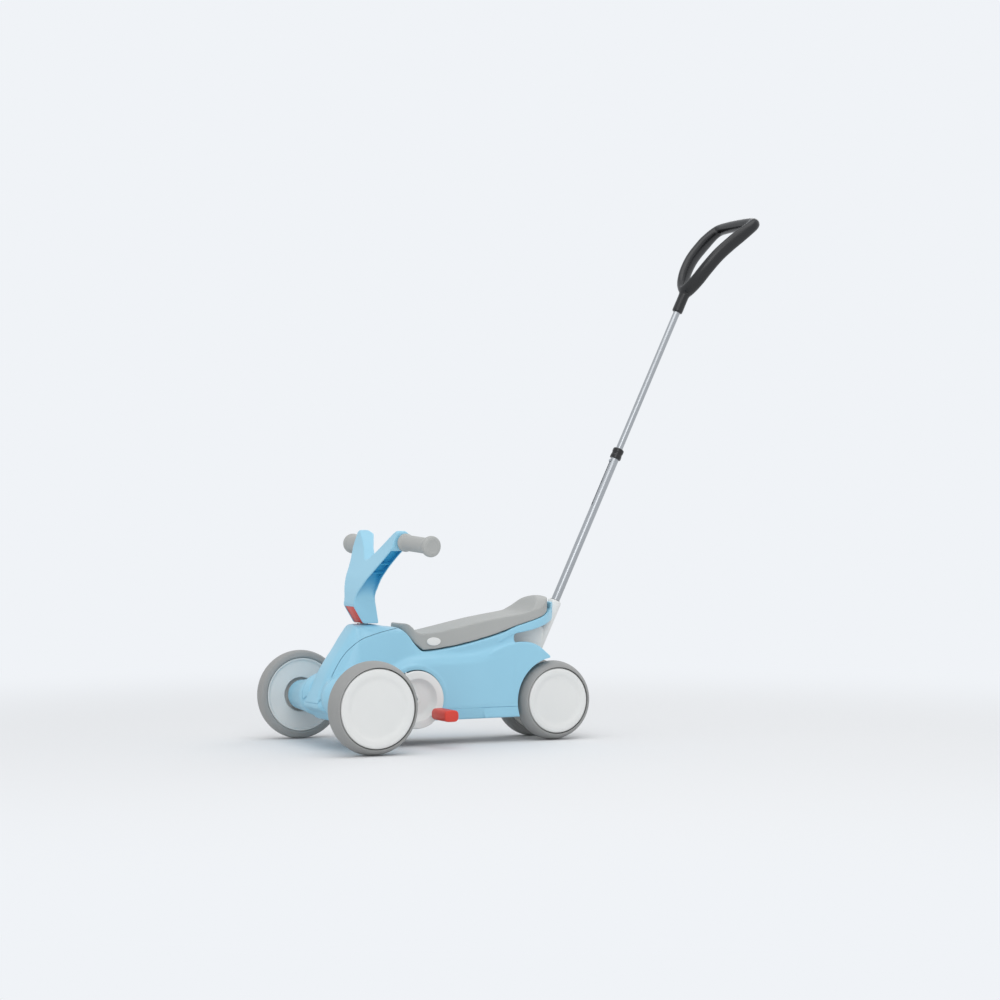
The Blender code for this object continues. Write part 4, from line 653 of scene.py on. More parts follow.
FENDER = [
    (0.15, 0.148), (0.142, 0.163), (0.121, 0.174), (0.101, 0.181), (0.078, 0.1855), (0.059, 0.185),
    (0.045, 0.1815), (0.033, 0.175), (0.023, 0.1665), (0.012, 0.1575), (0.012, 0.074), (0.065, 0.0462),
    (0.15, 0.0458),
]
SEAT_BASE = [
    (0.268, 0.1732), (0.243, 0.1752), (0.203, 0.1812), (0.162, 0.1902), (0.121, 0.2012),
    (BODY_REAR, 0.2137), (0.046, 0.225), (0.02, 0.2325), (-0.003, 0.2435),
]
TAIL = [
    (0.119, 0.1975), *[(x, z - GAP) for x, z in SEAT_BASE[5:]], (-0.0034, 0.2432), (-0.0046, 0.2575),
    (-0.013, 0.2575), (-0.0175, 0.244), (-0.013, 0.224), (0.022, 0.214), (0.05, 0.2065),
    (0.092, 0.1992), (0.119, 0.185),
]
COVER_SEAM = [
    (0.307, 0.2152), (0.3364, 0.2108), (0.3718, 0.2011), (0.393, 0.1918), (0.4111, 0.1763),
    (0.4251, 0.1591), (0.4388, 0.137), (0.452, 0.1117), (0.465, 0.0879), (0.4727, 0.0768),
]


def tail_plan(wall):
    half = [
        (0.125, 0.056 - wall), (0.052, 0.058 - wall), (0.03, 0.054 - wall), (0.012, 0.043 - wall),
        (-0.003 + wall * 0.6, 0.028 - wall), (-0.013 + wall, 0.016 - wall),
        (-0.017 + wall, 0.006 - wall * 0.5),
    ]
    return both_sides(half)


def tail(wall=0.0, drop_floor=0.0):
    outline = [Vector(p) for p in TAIL]
    if wall:
        outline = inset(outline, wall)
        outline = outline[:9] + [p - Vector((0, drop_floor)) for p in outline[9:]]
    else:
        outline = softened(outline, [0, 0.01, 0.012, 0.01, 0.006, 0, 0.003, 0.004, 0.006, 0.009, 0.015, 0.01,
                                     0.01, 0.003])
    plan = tail_plan(wall) if wall else softened(tail_plan(0.0), 0.012)
    return common(slab(outline, -0.07, 0.07, SIDE_VIEW), slab(plan, 0.1, 0.3, PLAN_VIEW))


def cover_zone(grow):
    """What lies in front of the seam, which arcs from the back of the hood down to the nose."""
    seam = flowing(COVER_SEAM, 4)
    side = inset(seam + [Vector((0.52, 0.0768)), Vector((0.52, 0.27)), Vector((0.306, 0.27))], -grow)
    plan = both_sides([
        (0.53, 0.0465 + grow), (0.434, 0.0465 + grow), (0.424, 0.06 + grow), (0.29, 0.06 + grow),
    ])
    return common(slab(side, -0.07, 0.07, SIDE_VIEW), slab(plan, 0.02, 0.3, PLAN_VIEW))


def steering_hole():
    return rod(HEAD, STEERING_AXIS, -0.06, 0.02, HEAD_TUBE_RADIUS, 0)


def body_form():
    """The whole outside of the body in one soft-edged skin: hull, front arms, rear fenders and tail."""
    parts = [hull(), tail()]
    for sign in (1, -1):
        parts.append(fairing(sign))
        fender = slab(softened(FENDER, [0.006] * 9 + [0.002] * 4), FENDER_INNER, FENDER_OUTER, SIDE_VIEW,
                      0.005, 4, only_high=True)
        # A low collar of the side panel stands round the crank disc, and ends at the panel's lower edge
        collar = turned(arc((0.06, 0.0588), 0.0062, 0, 345, 23), CRANK, LEFT, ring=True, steps=72)
        collar = common(collar, block((0.2, 0, BODY_BOTTOM + 0.003), (0.4, 0.1, 0.2)))
        for part in (fender, collar):
            parts.append(part if sign > 0 else flipped(part))
    return moulded(0.0015, 4, *parts)


def skirt_groove():
    """The moulded line along the lower edge of a side panel."""
    outline = [(0.268, 0.0625), (0.243, 0.0627), (0.203, 0.0617), (0.162, 0.0601), (0.148, 0.0584),
               (0.07, 0.0583), (0.07, 0.08), (0.268, 0.08)]
    return slab(outline, 0.0654, 0.0664, PLAN_VIEW)


def make_body():
    form = body_form()
    steering = steering_hole()
    cover = common(form.copy(), cover_zone(-SEAM))
    cover = cut(cover, hull(WALL), steering)
    shown(cover, "hood_cover", "body", "blue_shell", "front_cover")
    arch = REAR_RADIUS + ARCH_GAP
    frame_room = FRAME_HALF_WIDTH + GAP
    well = slab(inset(FENDER, WALL), FENDER_INNER + WALL, FENDER_OUTER - WALL, SIDE_VIEW)
    well = cut(well, rod(REAR_AXLE, LEFT, -0.1, 0.1, arch + WALL * 0.8, 0))
    half = common(form, block((-0.1, GAP / 2, 0), (0.6, 0.3, 0.4)))
    half = cut(
        half,
        hull(WALL),
        fairing(1, WALL, run_out=True),
        tail(WALL, 0.03),
        well,
        rod(REAR_AXLE, LEFT, -0.1, 0.1, arch, 0, steps=96),
        rod(CRANK, LEFT, -0.1, 0.1, CRANK_DISC_RADIUS + 5 * GAP, 0, steps=96),
        rod(POLE_BASE, POLE_AXIS, -0.12, 0.02, SOCKET_RADIUS + GAP, 0),
        steering_hole(),
        block((0.05, -frame_room, 0.03), (BODY_REAR + 0.02, frame_room, 0.1988)),
        cover_zone(SEAM),
        skirt_groove(),
    )
    other = flipped(half)
    shown(half, "left_side_panel", "body", "blue_shell", "left_body_shell")
    shown(other, "right_side_panel", "body", "blue_shell", "right_body_shell")


# Seat

SEAT_FRONT = [(0.3035, 0.2128), (0.3, 0.2078), (0.283, 0.1857)]
SEAT_TOP = [
    (-0.004, 0.26), (0.0015, 0.2665), (0.011, 0.27), (0.02, 0.269), (0.03, 0.2625),
    (0.041, 0.251), (0.053, 0.242), (0.066, 0.2385), (0.089, 0.235), (0.131, 0.2285),
    (0.172, 0.2205), (0.213, 0.212), (0.245, 0.2058), (0.266, 0.204), (0.277, 0.2055),
    (0.284, 0.212), (0.2895, 0.2185), (0.2955, 0.222), (0.3025, 0.2215),
]
SEAT_PLAN = [
    (0.308, 0.0), (0.306, 0.015), (0.3, 0.028), (0.29, 0.0385), (0.278, 0.0445), (0.25, 0.0495),
    (0.16, 0.0535), (0.08, 0.0565), (0.052, 0.056),
]
# Across, the bump at the rear is rounded off towards its sides
SEAT_CROWN = [
    (0.07, 0.12), (0.07, 0.235), (0.053, 0.245), (0.043, 0.2555), (0.029, 0.265), (0.0, 0.2705),
]


def make_seat():
    base = [(x, z + 1.5 * GAP) for x, z in SEAT_FRONT + SEAT_BASE]
    side = base + flowing(SEAT_TOP, 3)
    reach = arc((0, 0), 1, 90, 180, 12)[1:]
    rear = [(0.052 + 0.055 * p.x, max(0.0, 0.056 * p.y)) for p in reach]
    plan = both_sides(flowing(SEAT_PLAN, 4) + rear)
    seat = common(
        slab(side, -0.08, 0.08, SIDE_VIEW),
        slab(plan, 0.1, 0.35, PLAN_VIEW),
        slab(softened(left_and_right(SEAT_CROWN), 0.012), -0.1, 0.4, FRONT_VIEW),
    )
    seat = moulded(0.0015, 5, seat)
    underside = [(x, z) for x, z in base] + [(-0.03, 0.244), (-0.03, 0.14), (0.32, 0.14), (0.32, 0.2128)]
    seat = cut(seat, slab(underside, -0.08, 0.08, SIDE_VIEW), rod(POLE_BASE, POLE_AXIS, -0.1, 0.05, 0.011, 0))
    shown(seat, "seat_moulding", "body", "grey_soft_plastic", "seat")
    for side_name, sign in SIDES:
        slope = math.atan2(0.004, 0.09)
        outward = Vector((math.sin(slope), sign * math.cos(slope), 0))
        place = basis(Vector((0.249, sign * 0.0497, 0.1893)) + outward * -0.0006, outward)
        ring = [(0.0135 * p.x, 0.0075 * p.y) for p in arc((0, 0), 1, 0, 354, 59)]
        plate = slab(ring, 0.0, 0.0024, place, 0.0009, 4, only_high=True)
        shown(plate, f"{side_name}_oval_plate", "body", "white_plastic", f"{side_name}_side_oval")


# Tail frame and push bar socket


def make_tail_frame():
    outline = softened(
        [
            (0.128, 0.056), (0.128, 0.15), (0.1, 0.198), (0.086, 0.208), (0.046, 0.2195),
            (0.024, 0.223), (0.008, 0.206), (0.013, 0.178), (0.018, 0.145), (0.006, 0.11),
            (-0.01, 0.088), (-0.016, 0.074), (-0.008, 0.059), (0.008, 0.056),
        ],
        [0.003, 0.01, 0.008, 0.01, 0.008, 0.006, 0.006, 0.01, 0.014, 0.02, 0.008, 0.01, 0.008, 0.006],
    )
    web = slab(outline, -FRAME_HALF_WIDTH, FRAME_HALF_WIDTH, SIDE_VIEW, 0.0035, 4)
    boss = rod(POLE_BASE, POLE_AXIS, -SOCKET_DEPTH - 0.02, 0.0, SOCKET_RADIUS, 0.0015)
    form = moulded(0.0014, 4, web, boss)
    slot = [(0.14, 0.05), (0.14, 0.13), (0.04, 0.128), (0.02, 0.12), (-0.03, 0.105),
            (-0.03, 0.05)]
    form = cut(
        form,
        slab(slot, -0.0105, 0.0105, SIDE_VIEW),
        rod(REAR_AXLE, LEFT, -0.05, 0.05, 0.0063, 0),
        rod(POLE_BASE, POLE_AXIS, -SOCKET_DEPTH - GAP, 0.02, SOCKET_BORE, 0),
    )
    shown(form, "tail_bracket", "body", "white_plastic", "tail_frame")
    bore, sleeve, foot = LOWER_TUBE_RADIUS + GAP, SOCKET_BORE - GAP, -SOCKET_DEPTH
    profile = [(0.0, foot), (sleeve, foot), (sleeve, 0.0008), (bore, 0.0008), (bore, foot + WALL),
               (0.0, foot + WALL)]
    sleeve = lathed(profile, 0.0006, POLE_BASE, POLE_AXIS)
    shown(sleeve, "socket_sleeve", "body", "dark_frame_plastic", "push_bar_socket")


# Steering


HANDLEBAR_SIDE = [
    (0.347, 0.2232), (0.377, 0.2232), (0.3975, 0.2565), (0.3925, 0.283), (0.3835, 0.305),
    (0.3735, 0.321), (0.3615, 0.341), (0.3515, 0.36), (0.3445, 0.38), (0.34, 0.3935),
    (0.323, 0.3935), (0.312, 0.381), (0.317, 0.368), (0.329, 0.354), (0.342, 0.33),
    (0.3527, 0.305), (0.356, 0.275),
]
HANDLEBAR_FRONT = [
    (0.0237, 0.218), (0.0242, 0.268), (0.032, 0.281), (0.045, 0.298), (0.065, 0.328),
    (0.086, 0.354), (0.091, 0.36), (0.091, 0.39), (0.085, 0.3935), (0.045, 0.3675),
    (0.017, 0.3465),
]
# The arms' rear faces, seen from above, sweep back towards the grips
HANDLEBAR_PLAN = [
    (0.42, 0.12), (0.305, 0.12), (0.307, 0.092), (0.313, 0.08), (0.3215, 0.06), (0.33, 0.042),
    (0.337, 0.02), (0.339, 0.0),
]
ARM_POCKET = [
    (0.0249, 0.264), (0.0272, 0.286), (0.041, 0.314), (0.063, 0.34), (0.0795, 0.356),
    (0.1, 0.356), (0.1, 0.34), (0.06, 0.28), (0.03, 0.26),
]


def arm_pocket(sign):
    """The hollow of an arm, open to its outer side, with two low ribs across it."""
    pocket = slab([(y * sign, z) for y, z in ARM_POCKET], 0.25, 0.45, FRONT_VIEW)
    walls = inset(HANDLEBAR_SIDE, 0.0022)
    pocket = common(pocket, slab(walls, -0.12, 0.12, SIDE_VIEW))
    for along in (0.36, 0.62):
        foot = Vector((0.0275, 0.293)).lerp(Vector((0.086, 0.356)), along)
        out, width = Vector((0.75, -0.66)), Vector((0.66, 0.75)) * 0.0011
        deep, crest = foot - out * 0.03, foot + out * 0.0004
        rib = [deep - width, crest - width, crest + width, deep + width]
        pocket = cut(pocket, slab([(p.x * sign, p.y) for p in rib], 0.25, 0.45, FRONT_VIEW))
    return pocket


def make_handlebar():
    front = left_and_right(HANDLEBAR_FRONT + [(0.0, 0.3355)])
    rounding = [0.001, 0.01, 0.006, 0.012, 0.02, 0.012, 0.006, 0.008, 0.006, 0.015, 0.01, 0.01]
    rounding = rounding + rounding[:-1][::-1]
    side = softened(HANDLEBAR_SIDE, [0.001, 0.003, 0.004] + [0.008] * 6 + [0.007, 0.007, 0.006] + [0.008] * 5)
    form = common(
        slab(side, -0.12, 0.12, SIDE_VIEW),
        slab(softened(front, rounding), 0.25, 0.45, FRONT_VIEW),
        slab(softened(both_sides(HANDLEBAR_PLAN), 0.01), 0.2, 0.42, PLAN_VIEW),
    )
    form = moulded(0.0013, 3, form)
    shade_lining = []
    for sign in (1, -1):
        pocket = arm_pocket(sign)
        shade_lining.append(pocket.copy())
        form = cut(form, pocket)
        form = joined(form, rod(grip_start(sign), grip_axis(sign), -0.012, 0.089, 0.01, 0.001))
    # The foot's front face slopes; the trim lies in it, a little below the surface
    low, high = Vector((0.377, 0.2232)), Vector((0.396, 0.2541))
    along = (high - low).normalized()
    inward = Vector((-along.y, along.x))
    recess = [low + inward * 0.006 - along * 0.005, high + inward * 0.006, high - inward * 0.006,
              low - inward * 0.006 - along * 0.005]
    inlay = [low + inward * 0.0057, high + inward * 0.0057 - along * 0.0003,
             high + inward * 0.001 - along * 0.0003, low + inward * 0.001]
    form = cut(
        form,
        slab(recess, -0.0207, 0.0207, SIDE_VIEW),
        rod(HEAD, STEERING_AXIS, -0.02, COLUMN_TOP + GAP, COLUMN_RADIUS + GAP, 0),
    )
    shown(slab(softened(inlay, 0.0008, steps=3), -0.0204, 0.0204, SIDE_VIEW, 0.0008), "handlebar_foot_trim",
          "steering", "red_plastic", "stem_trim")
    shade_lining = gathered(*shade_lining)
    bmesh.ops.translate(shade_lining, verts=shade_lining.verts, vec=(REAR_AXLE_X, 0, 0))
    walls = BVHTree.FromBMesh(shade_lining)
    shade_lining.free()
    bar = shown(form, "handlebar_moulding", "steering", "blue_shell", "handlebar")
    # The faces of the hollows take the deeper blue, which is painted shade
    bar.data.materials.append(HOLLOW_SHADE_BLUE)
    for face in bar.data.polygons:
        if face.center.z > 0.264 and walls.find_nearest(face.center, 0.0001)[0] is not None:
            face.material_index = 1


def grip_start(sign):
    return Vector((0.3275, 0.091 * sign, 0.3715))


def grip_axis(sign):
    sweep, drop = math.radians(9.0), math.radians(4.0)
    across = Vector((-math.sin(sweep), sign * math.cos(sweep), 0))
    return across * math.cos(drop) - UP * math.sin(drop)


def make_grips():
    length, inner = 0.095, 0.0103
    profile = [
        (0.0, length - 0.0055), (inner, length - 0.0055), (inner, 0.0035), (0.0165, 0.0035), (0.0165, 0.0095),
        (0.0145, 0.0125), (0.0142, length / 2), (0.0145, length - 0.017), (0.019, length - 0.01),
        (0.019, length - 0.0015), (0.012, length), (0.01, length - 0.0008), (0.0, length - 0.0008),
    ]
    rounding = [0, 0, 0, 0.0016, 0.0016, 0.003, 0.03, 0.006, 0.004, 0.004, 0.001, 0.001, 0]
    for side, sign in SIDES:
        grip = turned(softened(profile, rounding, closed=False), grip_start(sign), grip_axis(sign))
        shown(grip, f"{side}_hand_grip", "steering", "grey_soft_plastic", f"{side}_grip")


def make_steering_gear():
    foot = COLUMN_FOOT
    column = rod(HEAD, STEERING_AXIS, foot, COLUMN_TOP, COLUMN_RADIUS, 0.0008)
    shown(column, "steering_shaft", "steering", "steel", "steering_column")
    ring = arc((0, 0), 0.0115, -100, 100, 24) + arc((-0.014, 0), 0.006, 130, 230, 16)
    arm = slab(ring, foot, foot + 0.005, basis(HEAD, STEERING_AXIS), 0.0005, 2)
    pin = HEAD + STEERING_AXIS * foot - STEERING_FRONT * 0.014
    arm = cut(arm, rod(HEAD, STEERING_AXIS, foot - 0.01, foot + 0.01, COLUMN_RADIUS + GAP, 0))
    arm = joined(arm, rod(pin, STEERING_AXIS, -0.0085, 0.002, 0.0025, 0.0004))
    shown(arm, "steering_drop_arm", "steering", "steel", "steering_arm")
    for name, low in (("lower", -0.126), ("upper", -0.014)):
        bush = pipe(HEAD, STEERING_AXIS, low, low + 0.012, 0.0072, 0.0095)
        shown(bush, f"{name}_head_bush", "body", "bush_plastic", f"{name}_steering_bush")
    for side, sign in SIDES:
        pivot = FRONT_AXLE + LEFT * KINGPIN_Y * sign
        outward = LEFT * sign
        knuckle = rod(pivot, UP, -0.017, 0.017, 0.007, 0.0008)
        outline = arc((0, 0), 0.0065, -90, 90, 20) + arc((-0.014, 0), 0.0045, 110, 250, 16)
        knuckle = joined(
            knuckle,
            slab(outline, -0.0058, -0.0018, Matrix.Translation(pivot), 0.0004, 2),
            rod(pivot - FORWARD * 0.014, UP, -0.0128, -0.0038, 0.0025, 0.0004),
            rod(pivot, outward, 0.0045, 0.0211, AXLE_RADIUS, 0.0005),
            rod(pivot, outward, 0.0045, 0.0085, 0.0062, 0.0004),
        )
        knuckle = cut(knuckle, rod(pivot, UP, -0.03, 0.03, 0.0032, 0))
        shown(knuckle, f"{side}_steering_knuckle", f"{side}_knuckle", "steel", f"{side}_knuckle")
        reach = KNUCKLE_REACH
        profile = [(0, reach + 0.0018), (0.0045, reach + 0.0018), (0.0045, reach + GAP), (0.003, reach + GAP),
                   (0.003, -reach - 0.002), (0, -reach - 0.002)]
        kingpin = lathed(profile, 0.0005, pivot, UP, 48)
        shown(kingpin, f"{side}_king_pin", "body", "steel", f"{side}_kingpin")


# Wheels. Heights run outwards from the wheel's middle plane.


def wheel_profiles(radius, lip, hub_low, bore, bowl):
    half = TYRE_WIDTH / 2
    drum = lip - DRUM_STEP
    tyre = softened(
        [
            (drum + GAP, -half + 0.0035), (lip - 0.001, -half + 0.0008), (lip + 0.0012, -half + 0.0002),
            (radius - 0.0045, -0.0182), (radius - 0.0012, -0.015), (radius - 0.0001, -0.008),
            (radius - 0.0001, -0.003),
            (radius - 0.0014, 0.0045), (radius - 0.0043, 0.0118), (radius - 0.0078, 0.0174),
            (lip + 0.0012, half - 0.0002), (lip + 0.0009, half - 0.0012), (lip + 0.0009, CAP_SEAT - GAP),
            (drum + GAP, CAP_SEAT - GAP),
        ],
        [0.0006, 0.001, 0.0012, 0.002, 0.003, 0.003, 0.003, 0.004, 0.004, 0.003, 0.0012, 0.0006, 0, 0],
    )
    cap = softened(
        [
            (0.0, CAP_SEAT + 0.0031), (0.012, CAP_SEAT + 0.0031), (0.014, CAP_SEAT), (lip - 0.0009, CAP_SEAT),
            (lip - 0.0009, half - 0.0022), (lip - 0.004, half - 0.0006), (lip * 0.82, half - 0.0008),
            (lip * 0.71, half - 0.0037), (lip * 0.3, half - 0.004), (0.0, half - 0.0038),
        ],
        [0, 0.001, 0.001, 0.0005, 0.002, 0.0022, 0.004, 0.004, 0.01, 0],
        closed=False,
    )
    inner_face = -half + 0.003
    wide, narrow, depth = bowl
    rim = softened(
        [
            (bore, CAP_SEAT - GAP), (drum, CAP_SEAT - GAP), (drum, inner_face), (drum - 0.0028, inner_face),
            (drum - 0.0048, inner_face + 0.005), (wide, inner_face + 0.0062), (narrow, depth),
            (HUB_RADIUS, depth), (HUB_RADIUS, hub_low), (bore, hub_low),
        ],
        [0, 0, 0.0008, 0.0008, 0.003, 0.002, 0.003, 0.0008, 0.0004, 0.0003],
    )
    return tyre, cap, rim


def make_wheel(place, side, sign, track, axle, radius, lip, hub_low, bore, bowl, body):
    tyre, cap, rim = wheel_profiles(radius, lip, hub_low, bore, bowl)
    middle, outward = axle + LEFT * sign * track / 2, LEFT * sign
    prefix = f"{side}_{place}"
    shown(turned(tyre, middle, outward, ring=True, steps=144), f"{prefix}_foam_tyre", body, "grey_tyre",
          f"{prefix}_tyre")
    shown(turned(rim, middle, outward, ring=True, steps=144), f"{prefix}_wheel_rim", body, "white_plastic",
          f"{prefix}_rim")
    shown(turned(cap, middle, outward, steps=144), f"{prefix}_wheel_disc", body, "white_plastic",
          f"{prefix}_hub_cap")


def make_wheels():
    for side, sign in SIDES:
        body = f"{side}_front_wheel"
        outer = AXLE_RADIUS + BUSH_WALL
        # The front rims' bowls are as narrow as the steered knuckle and the arm of the body let them be
        make_wheel("front", side, sign, FRONT_TRACK, FRONT_AXLE, FRONT_RADIUS, FRONT_LIP, 0.0012, outer + GAP,
                   (0.0318, 0.0296, 0.002), body)
        make_wheel("rear", side, sign, REAR_TRACK, REAR_AXLE, REAR_RADIUS, REAR_LIP, -0.0184,
                   AXLE_RADIUS + GAP, (0.033, 0.027, 0.0082), "rear_wheels")
        middle, outward = FRONT_AXLE + LEFT * sign * FRONT_TRACK / 2, LEFT * sign
        bush = pipe(middle, outward, 0.0012, CAP_SEAT - GAP, AXLE_RADIUS + RUNNING, outer)
        shown(bush, f"{side}_wheel_bush", body, "bush_plastic", f"{side}_front_bush")
        low, inner = CAP_SEAT + 0.0004, AXLE_RADIUS + GAP
        profile = [(0.0, low + 0.0024), (0.006, low + 0.0024), (0.009, low + 0.0012), (0.009, low),
                   (inner, low), (inner, low + 0.0016), (0.0, low + 0.0016)]
        retainer = lathed(profile, 0.0004, middle, outward, 48)
        shown(retainer, f"{side}_push_nut", f"{side}_knuckle", "steel", f"{side}_stub_retainer")
        for name, axle, low, high, shaft in (
            ("crank", CRANK, 0.0105, 0.0198, CRANK_AXLE_RADIUS),
            ("rear_axle", REAR_AXLE, 0.0105, 0.0238, AXLE_RADIUS),
        ):
            bush = pipe(axle, outward, low, high, shaft + RUNNING, shaft + BUSH_WALL)
            shown(bush, f"{side}_{name}_bearing", "body", "bush_plastic", f"{side}_{name}_bush")
    end = REAR_TRACK / 2 + CAP_SEAT + 0.0025
    shown(rod(REAR_AXLE, LEFT, -end, end, AXLE_RADIUS, 0.0006), "rear_axle_rod", "rear_wheels", "steel",
          "rear_axle")
    make_pulley("driven_belt_wheel", "driven_pulley", REAR_AXLE, 0.018, AXLE_RADIUS + GAP, "rear_wheels")
    make_pulley("drive_belt_wheel", "drive_pulley", CRANK, 0.03, CRANK_AXLE_RADIUS + GAP, "crank")


def make_pulley(name, node, centre, radius, bore, body):
    half, edge = 0.005, radius + 0.002
    upper = [(bore, half + 0.0025), (edge, half + 0.0025), (edge, half + 0.0008), (radius, half + 0.0005)]
    profile = upper + [(r, -h) for r, h in reversed(upper)]
    wheel = turned(softened(profile, 0.0004, steps=3), centre, LEFT, ring=True)
    shown(wheel, name, body, "dark_frame_plastic", node)


# Crank and pedals


def pedal_hinge(sign):
    return CRANK + CRANK_OUT * PEDAL_HINGE_OUT * sign + LEFT * sign * PEDAL_HINGE_SIDE


def make_cranks():
    bore, face, bowl, lip, edge = CRANK_AXLE_RADIUS + GAP, 0.07, 0.058, 0.037, CRANK_DISC_RADIUS
    profile = [
        (bore, bowl), (lip - 0.006, bowl), (lip, face - 0.003), (lip + 0.0015, face), (edge - 0.001, face),
        (edge, face - 0.004), (lip + 0.0035, face - 0.004), (lip - 0.004, bowl - 0.003),
        (0.011, bowl - 0.003), (0.011, bowl - 0.012), (bore, bowl - 0.012),
    ]
    rounding = [0.0004, 0.006, 0.002, 0.002, 0.002, 0.0008, 0.002, 0.004, 0.001, 0.0008, 0.0004]
    cap = [(0.0042, bowl + 0.0026), (0.0055, bowl + 0.003), (0.008, bowl + 0.003), (0.01, bowl + 0.0015),
           (0.01, bowl + GAP), (bore, bowl + GAP), (bore, bowl + 0.0018), (0.0042, bowl + 0.0018)]
    for side, sign in SIDES:
        outward = LEFT * sign
        disc = turned(softened(profile, rounding), CRANK, outward, ring=True, steps=144)
        hinge = pedal_hinge(sign)
        for end in (1, -1):
            low, high = sorted((end * 0.0062, end * 0.0092))
            outline = arc((0, 0), 0.0048, -90, 90, 16) + [Vector((-0.009, 0.0048)), Vector((-0.009, -0.0048))]
            disc = joined(disc, slab(outline, low, high, basis(hinge, CRANK_ACROSS, outward), 0.0005, 2))
        disc = cut(disc, rod(hinge, CRANK_ACROSS, -0.02, 0.02, 0.0022, 0))
        shown(disc, f"{side}_crank_dish", "crank", "white_plastic", f"{side}_crank_disc")
        button = turned(softened(cap, 0.0005, steps=3), CRANK, outward, ring=True)
        shown(button, f"{side}_crank_button", "crank", "white_plastic", f"{side}_crank_cap")
        make_pedal(side, sign, hinge, outward)
    shaft = rod(CRANK, LEFT, -0.0592, 0.0592, CRANK_AXLE_RADIUS, 0.0006)
    shown(shaft, "crank_shaft", "crank", "steel", "crank_axle")


def make_pedal(side, sign, hinge, outward):
    spindle = joined(
        rod(hinge, CRANK_ACROSS, -0.0059, 0.0059, 0.0045, 0.0006),
        rod(hinge, CRANK_ACROSS, -0.01, 0.01, 0.002, 0.0003),
        rod(hinge, outward, 0.001, SPINDLE_LENGTH, 0.004, 0.0005),
    )
    shown(spindle, f"{side}_pedal_pin", f"{side}_pedal_spindle", "steel", f"{side}_pedal_spindle")
    half_w, half_t, low, high = 0.014, 0.0105, 0.008, 0.0675
    corners = [(half_w, half_t), (-half_w, half_t), (-half_w, -half_t), (half_w, -half_t)]
    place = Matrix.Translation(hinge) @ SIDE_VIEW
    span = sorted((sign * low, sign * high))
    tread = slab(softened(corners, 0.0095, steps=8), *span, place, 0.003, 5)
    # Three grip grooves run along the top and the bottom face
    for level in (half_t, -half_t):
        for x in (-0.0055, 0.0, 0.0055):
            groove = softened([(x - 0.0009, level - 0.001), (x + 0.0009, level - 0.001),
                               (x + 0.0009, level + 0.001), (x - 0.0009, level + 0.001)], 0.0004)
            reach = sorted((sign * (low + 0.008), sign * (high - 0.008)))
            tread = cut(tread, slab(groove, *reach, place))
    tread = cut(tread, rod(hinge, outward, 0.0, SPINDLE_LENGTH + 2 * GAP, 0.004 + GAP, 0))
    shown(tread, f"{side}_pedal_block", f"{side}_pedal", "red_plastic", f"{side}_pedal")


# Push bar


def make_push_bar():
    length = LOWER_TUBE_LENGTH
    lower = pipe(POLE_BASE, POLE_AXIS, -0.0815, length, LOWER_TUBE_RADIUS - TUBE_WALL, LOWER_TUBE_RADIUS)
    for step in range(3):
        at = POLE_BASE + POLE_AXIS * (SNAP_HOLE - step * SNAP_STEP)
        lower = cut(lower, rod(at, POLE_FRONT, 0.0, 0.02, SNAP_RADIUS, 0, start=UP))
    lowest = SNAP_HOLE - 2 * SNAP_STEP
    slot = [(lowest, -0.0013), (SNAP_HOLE, -0.0013), (SNAP_HOLE, 0.0013), (lowest, 0.0013)]
    lower = cut(lower, slab(slot, 0.0, 0.02, basis(POLE_BASE, POLE_FRONT, POLE_AXIS)))
    shown(lower, "lower_bar_tube", "push_bar_lower", "aluminium_tube", "lower_tube")
    grip, throat = LOWER_TUBE_RADIUS + GAP, UPPER_TUBE_RADIUS + GAP
    low, high = length - 0.01125, length + 0.00925
    profile = [
        (grip, low), (0.0108, low), (0.0108, low + 0.0065), (0.0101, low + 0.0075), (0.0101, low + 0.012),
        (0.0108, low + 0.013), (0.0108, high - 0.002), (0.0093, high), (throat, high), (throat, length + GAP),
        (grip, length + GAP),
    ]
    collar = turned(softened(profile, 0.0006, steps=3), POLE_BASE, POLE_AXIS, ring=True)
    shown(collar, "bar_collar", "push_bar_lower", "black_plastic", "pole_collar")
    upper = pipe(POLE_BASE, POLE_AXIS, length - 0.13, POLE_TOP, UPPER_TUBE_RADIUS - TUBE_WALL,
                 UPPER_TUBE_RADIUS)
    at = POLE_BASE + POLE_AXIS * SNAP_HOLE
    upper = cut(upper, rod(at, POLE_FRONT, 0.0, 0.02, SNAP_RADIUS, 0, start=UP))
    shown(upper, "upper_bar_tube", "push_bar_upper", "aluminium_tube", "upper_tube")
    profile = [(0.0, 0.0105), (0.0019, 0.0102), (0.0029, 0.009), (0.0029, 0.0083), (0.001, 0.0083),
               (0.001, 0.0034), (0.0037, 0.0034), (0.0037, 0.0022), (0.0, 0.0022)]
    button = lathed(profile, 0.0003, at, POLE_FRONT, 48, UP)
    shown(button, "bar_snap_button", "snap_button", "steel", "snap_button")


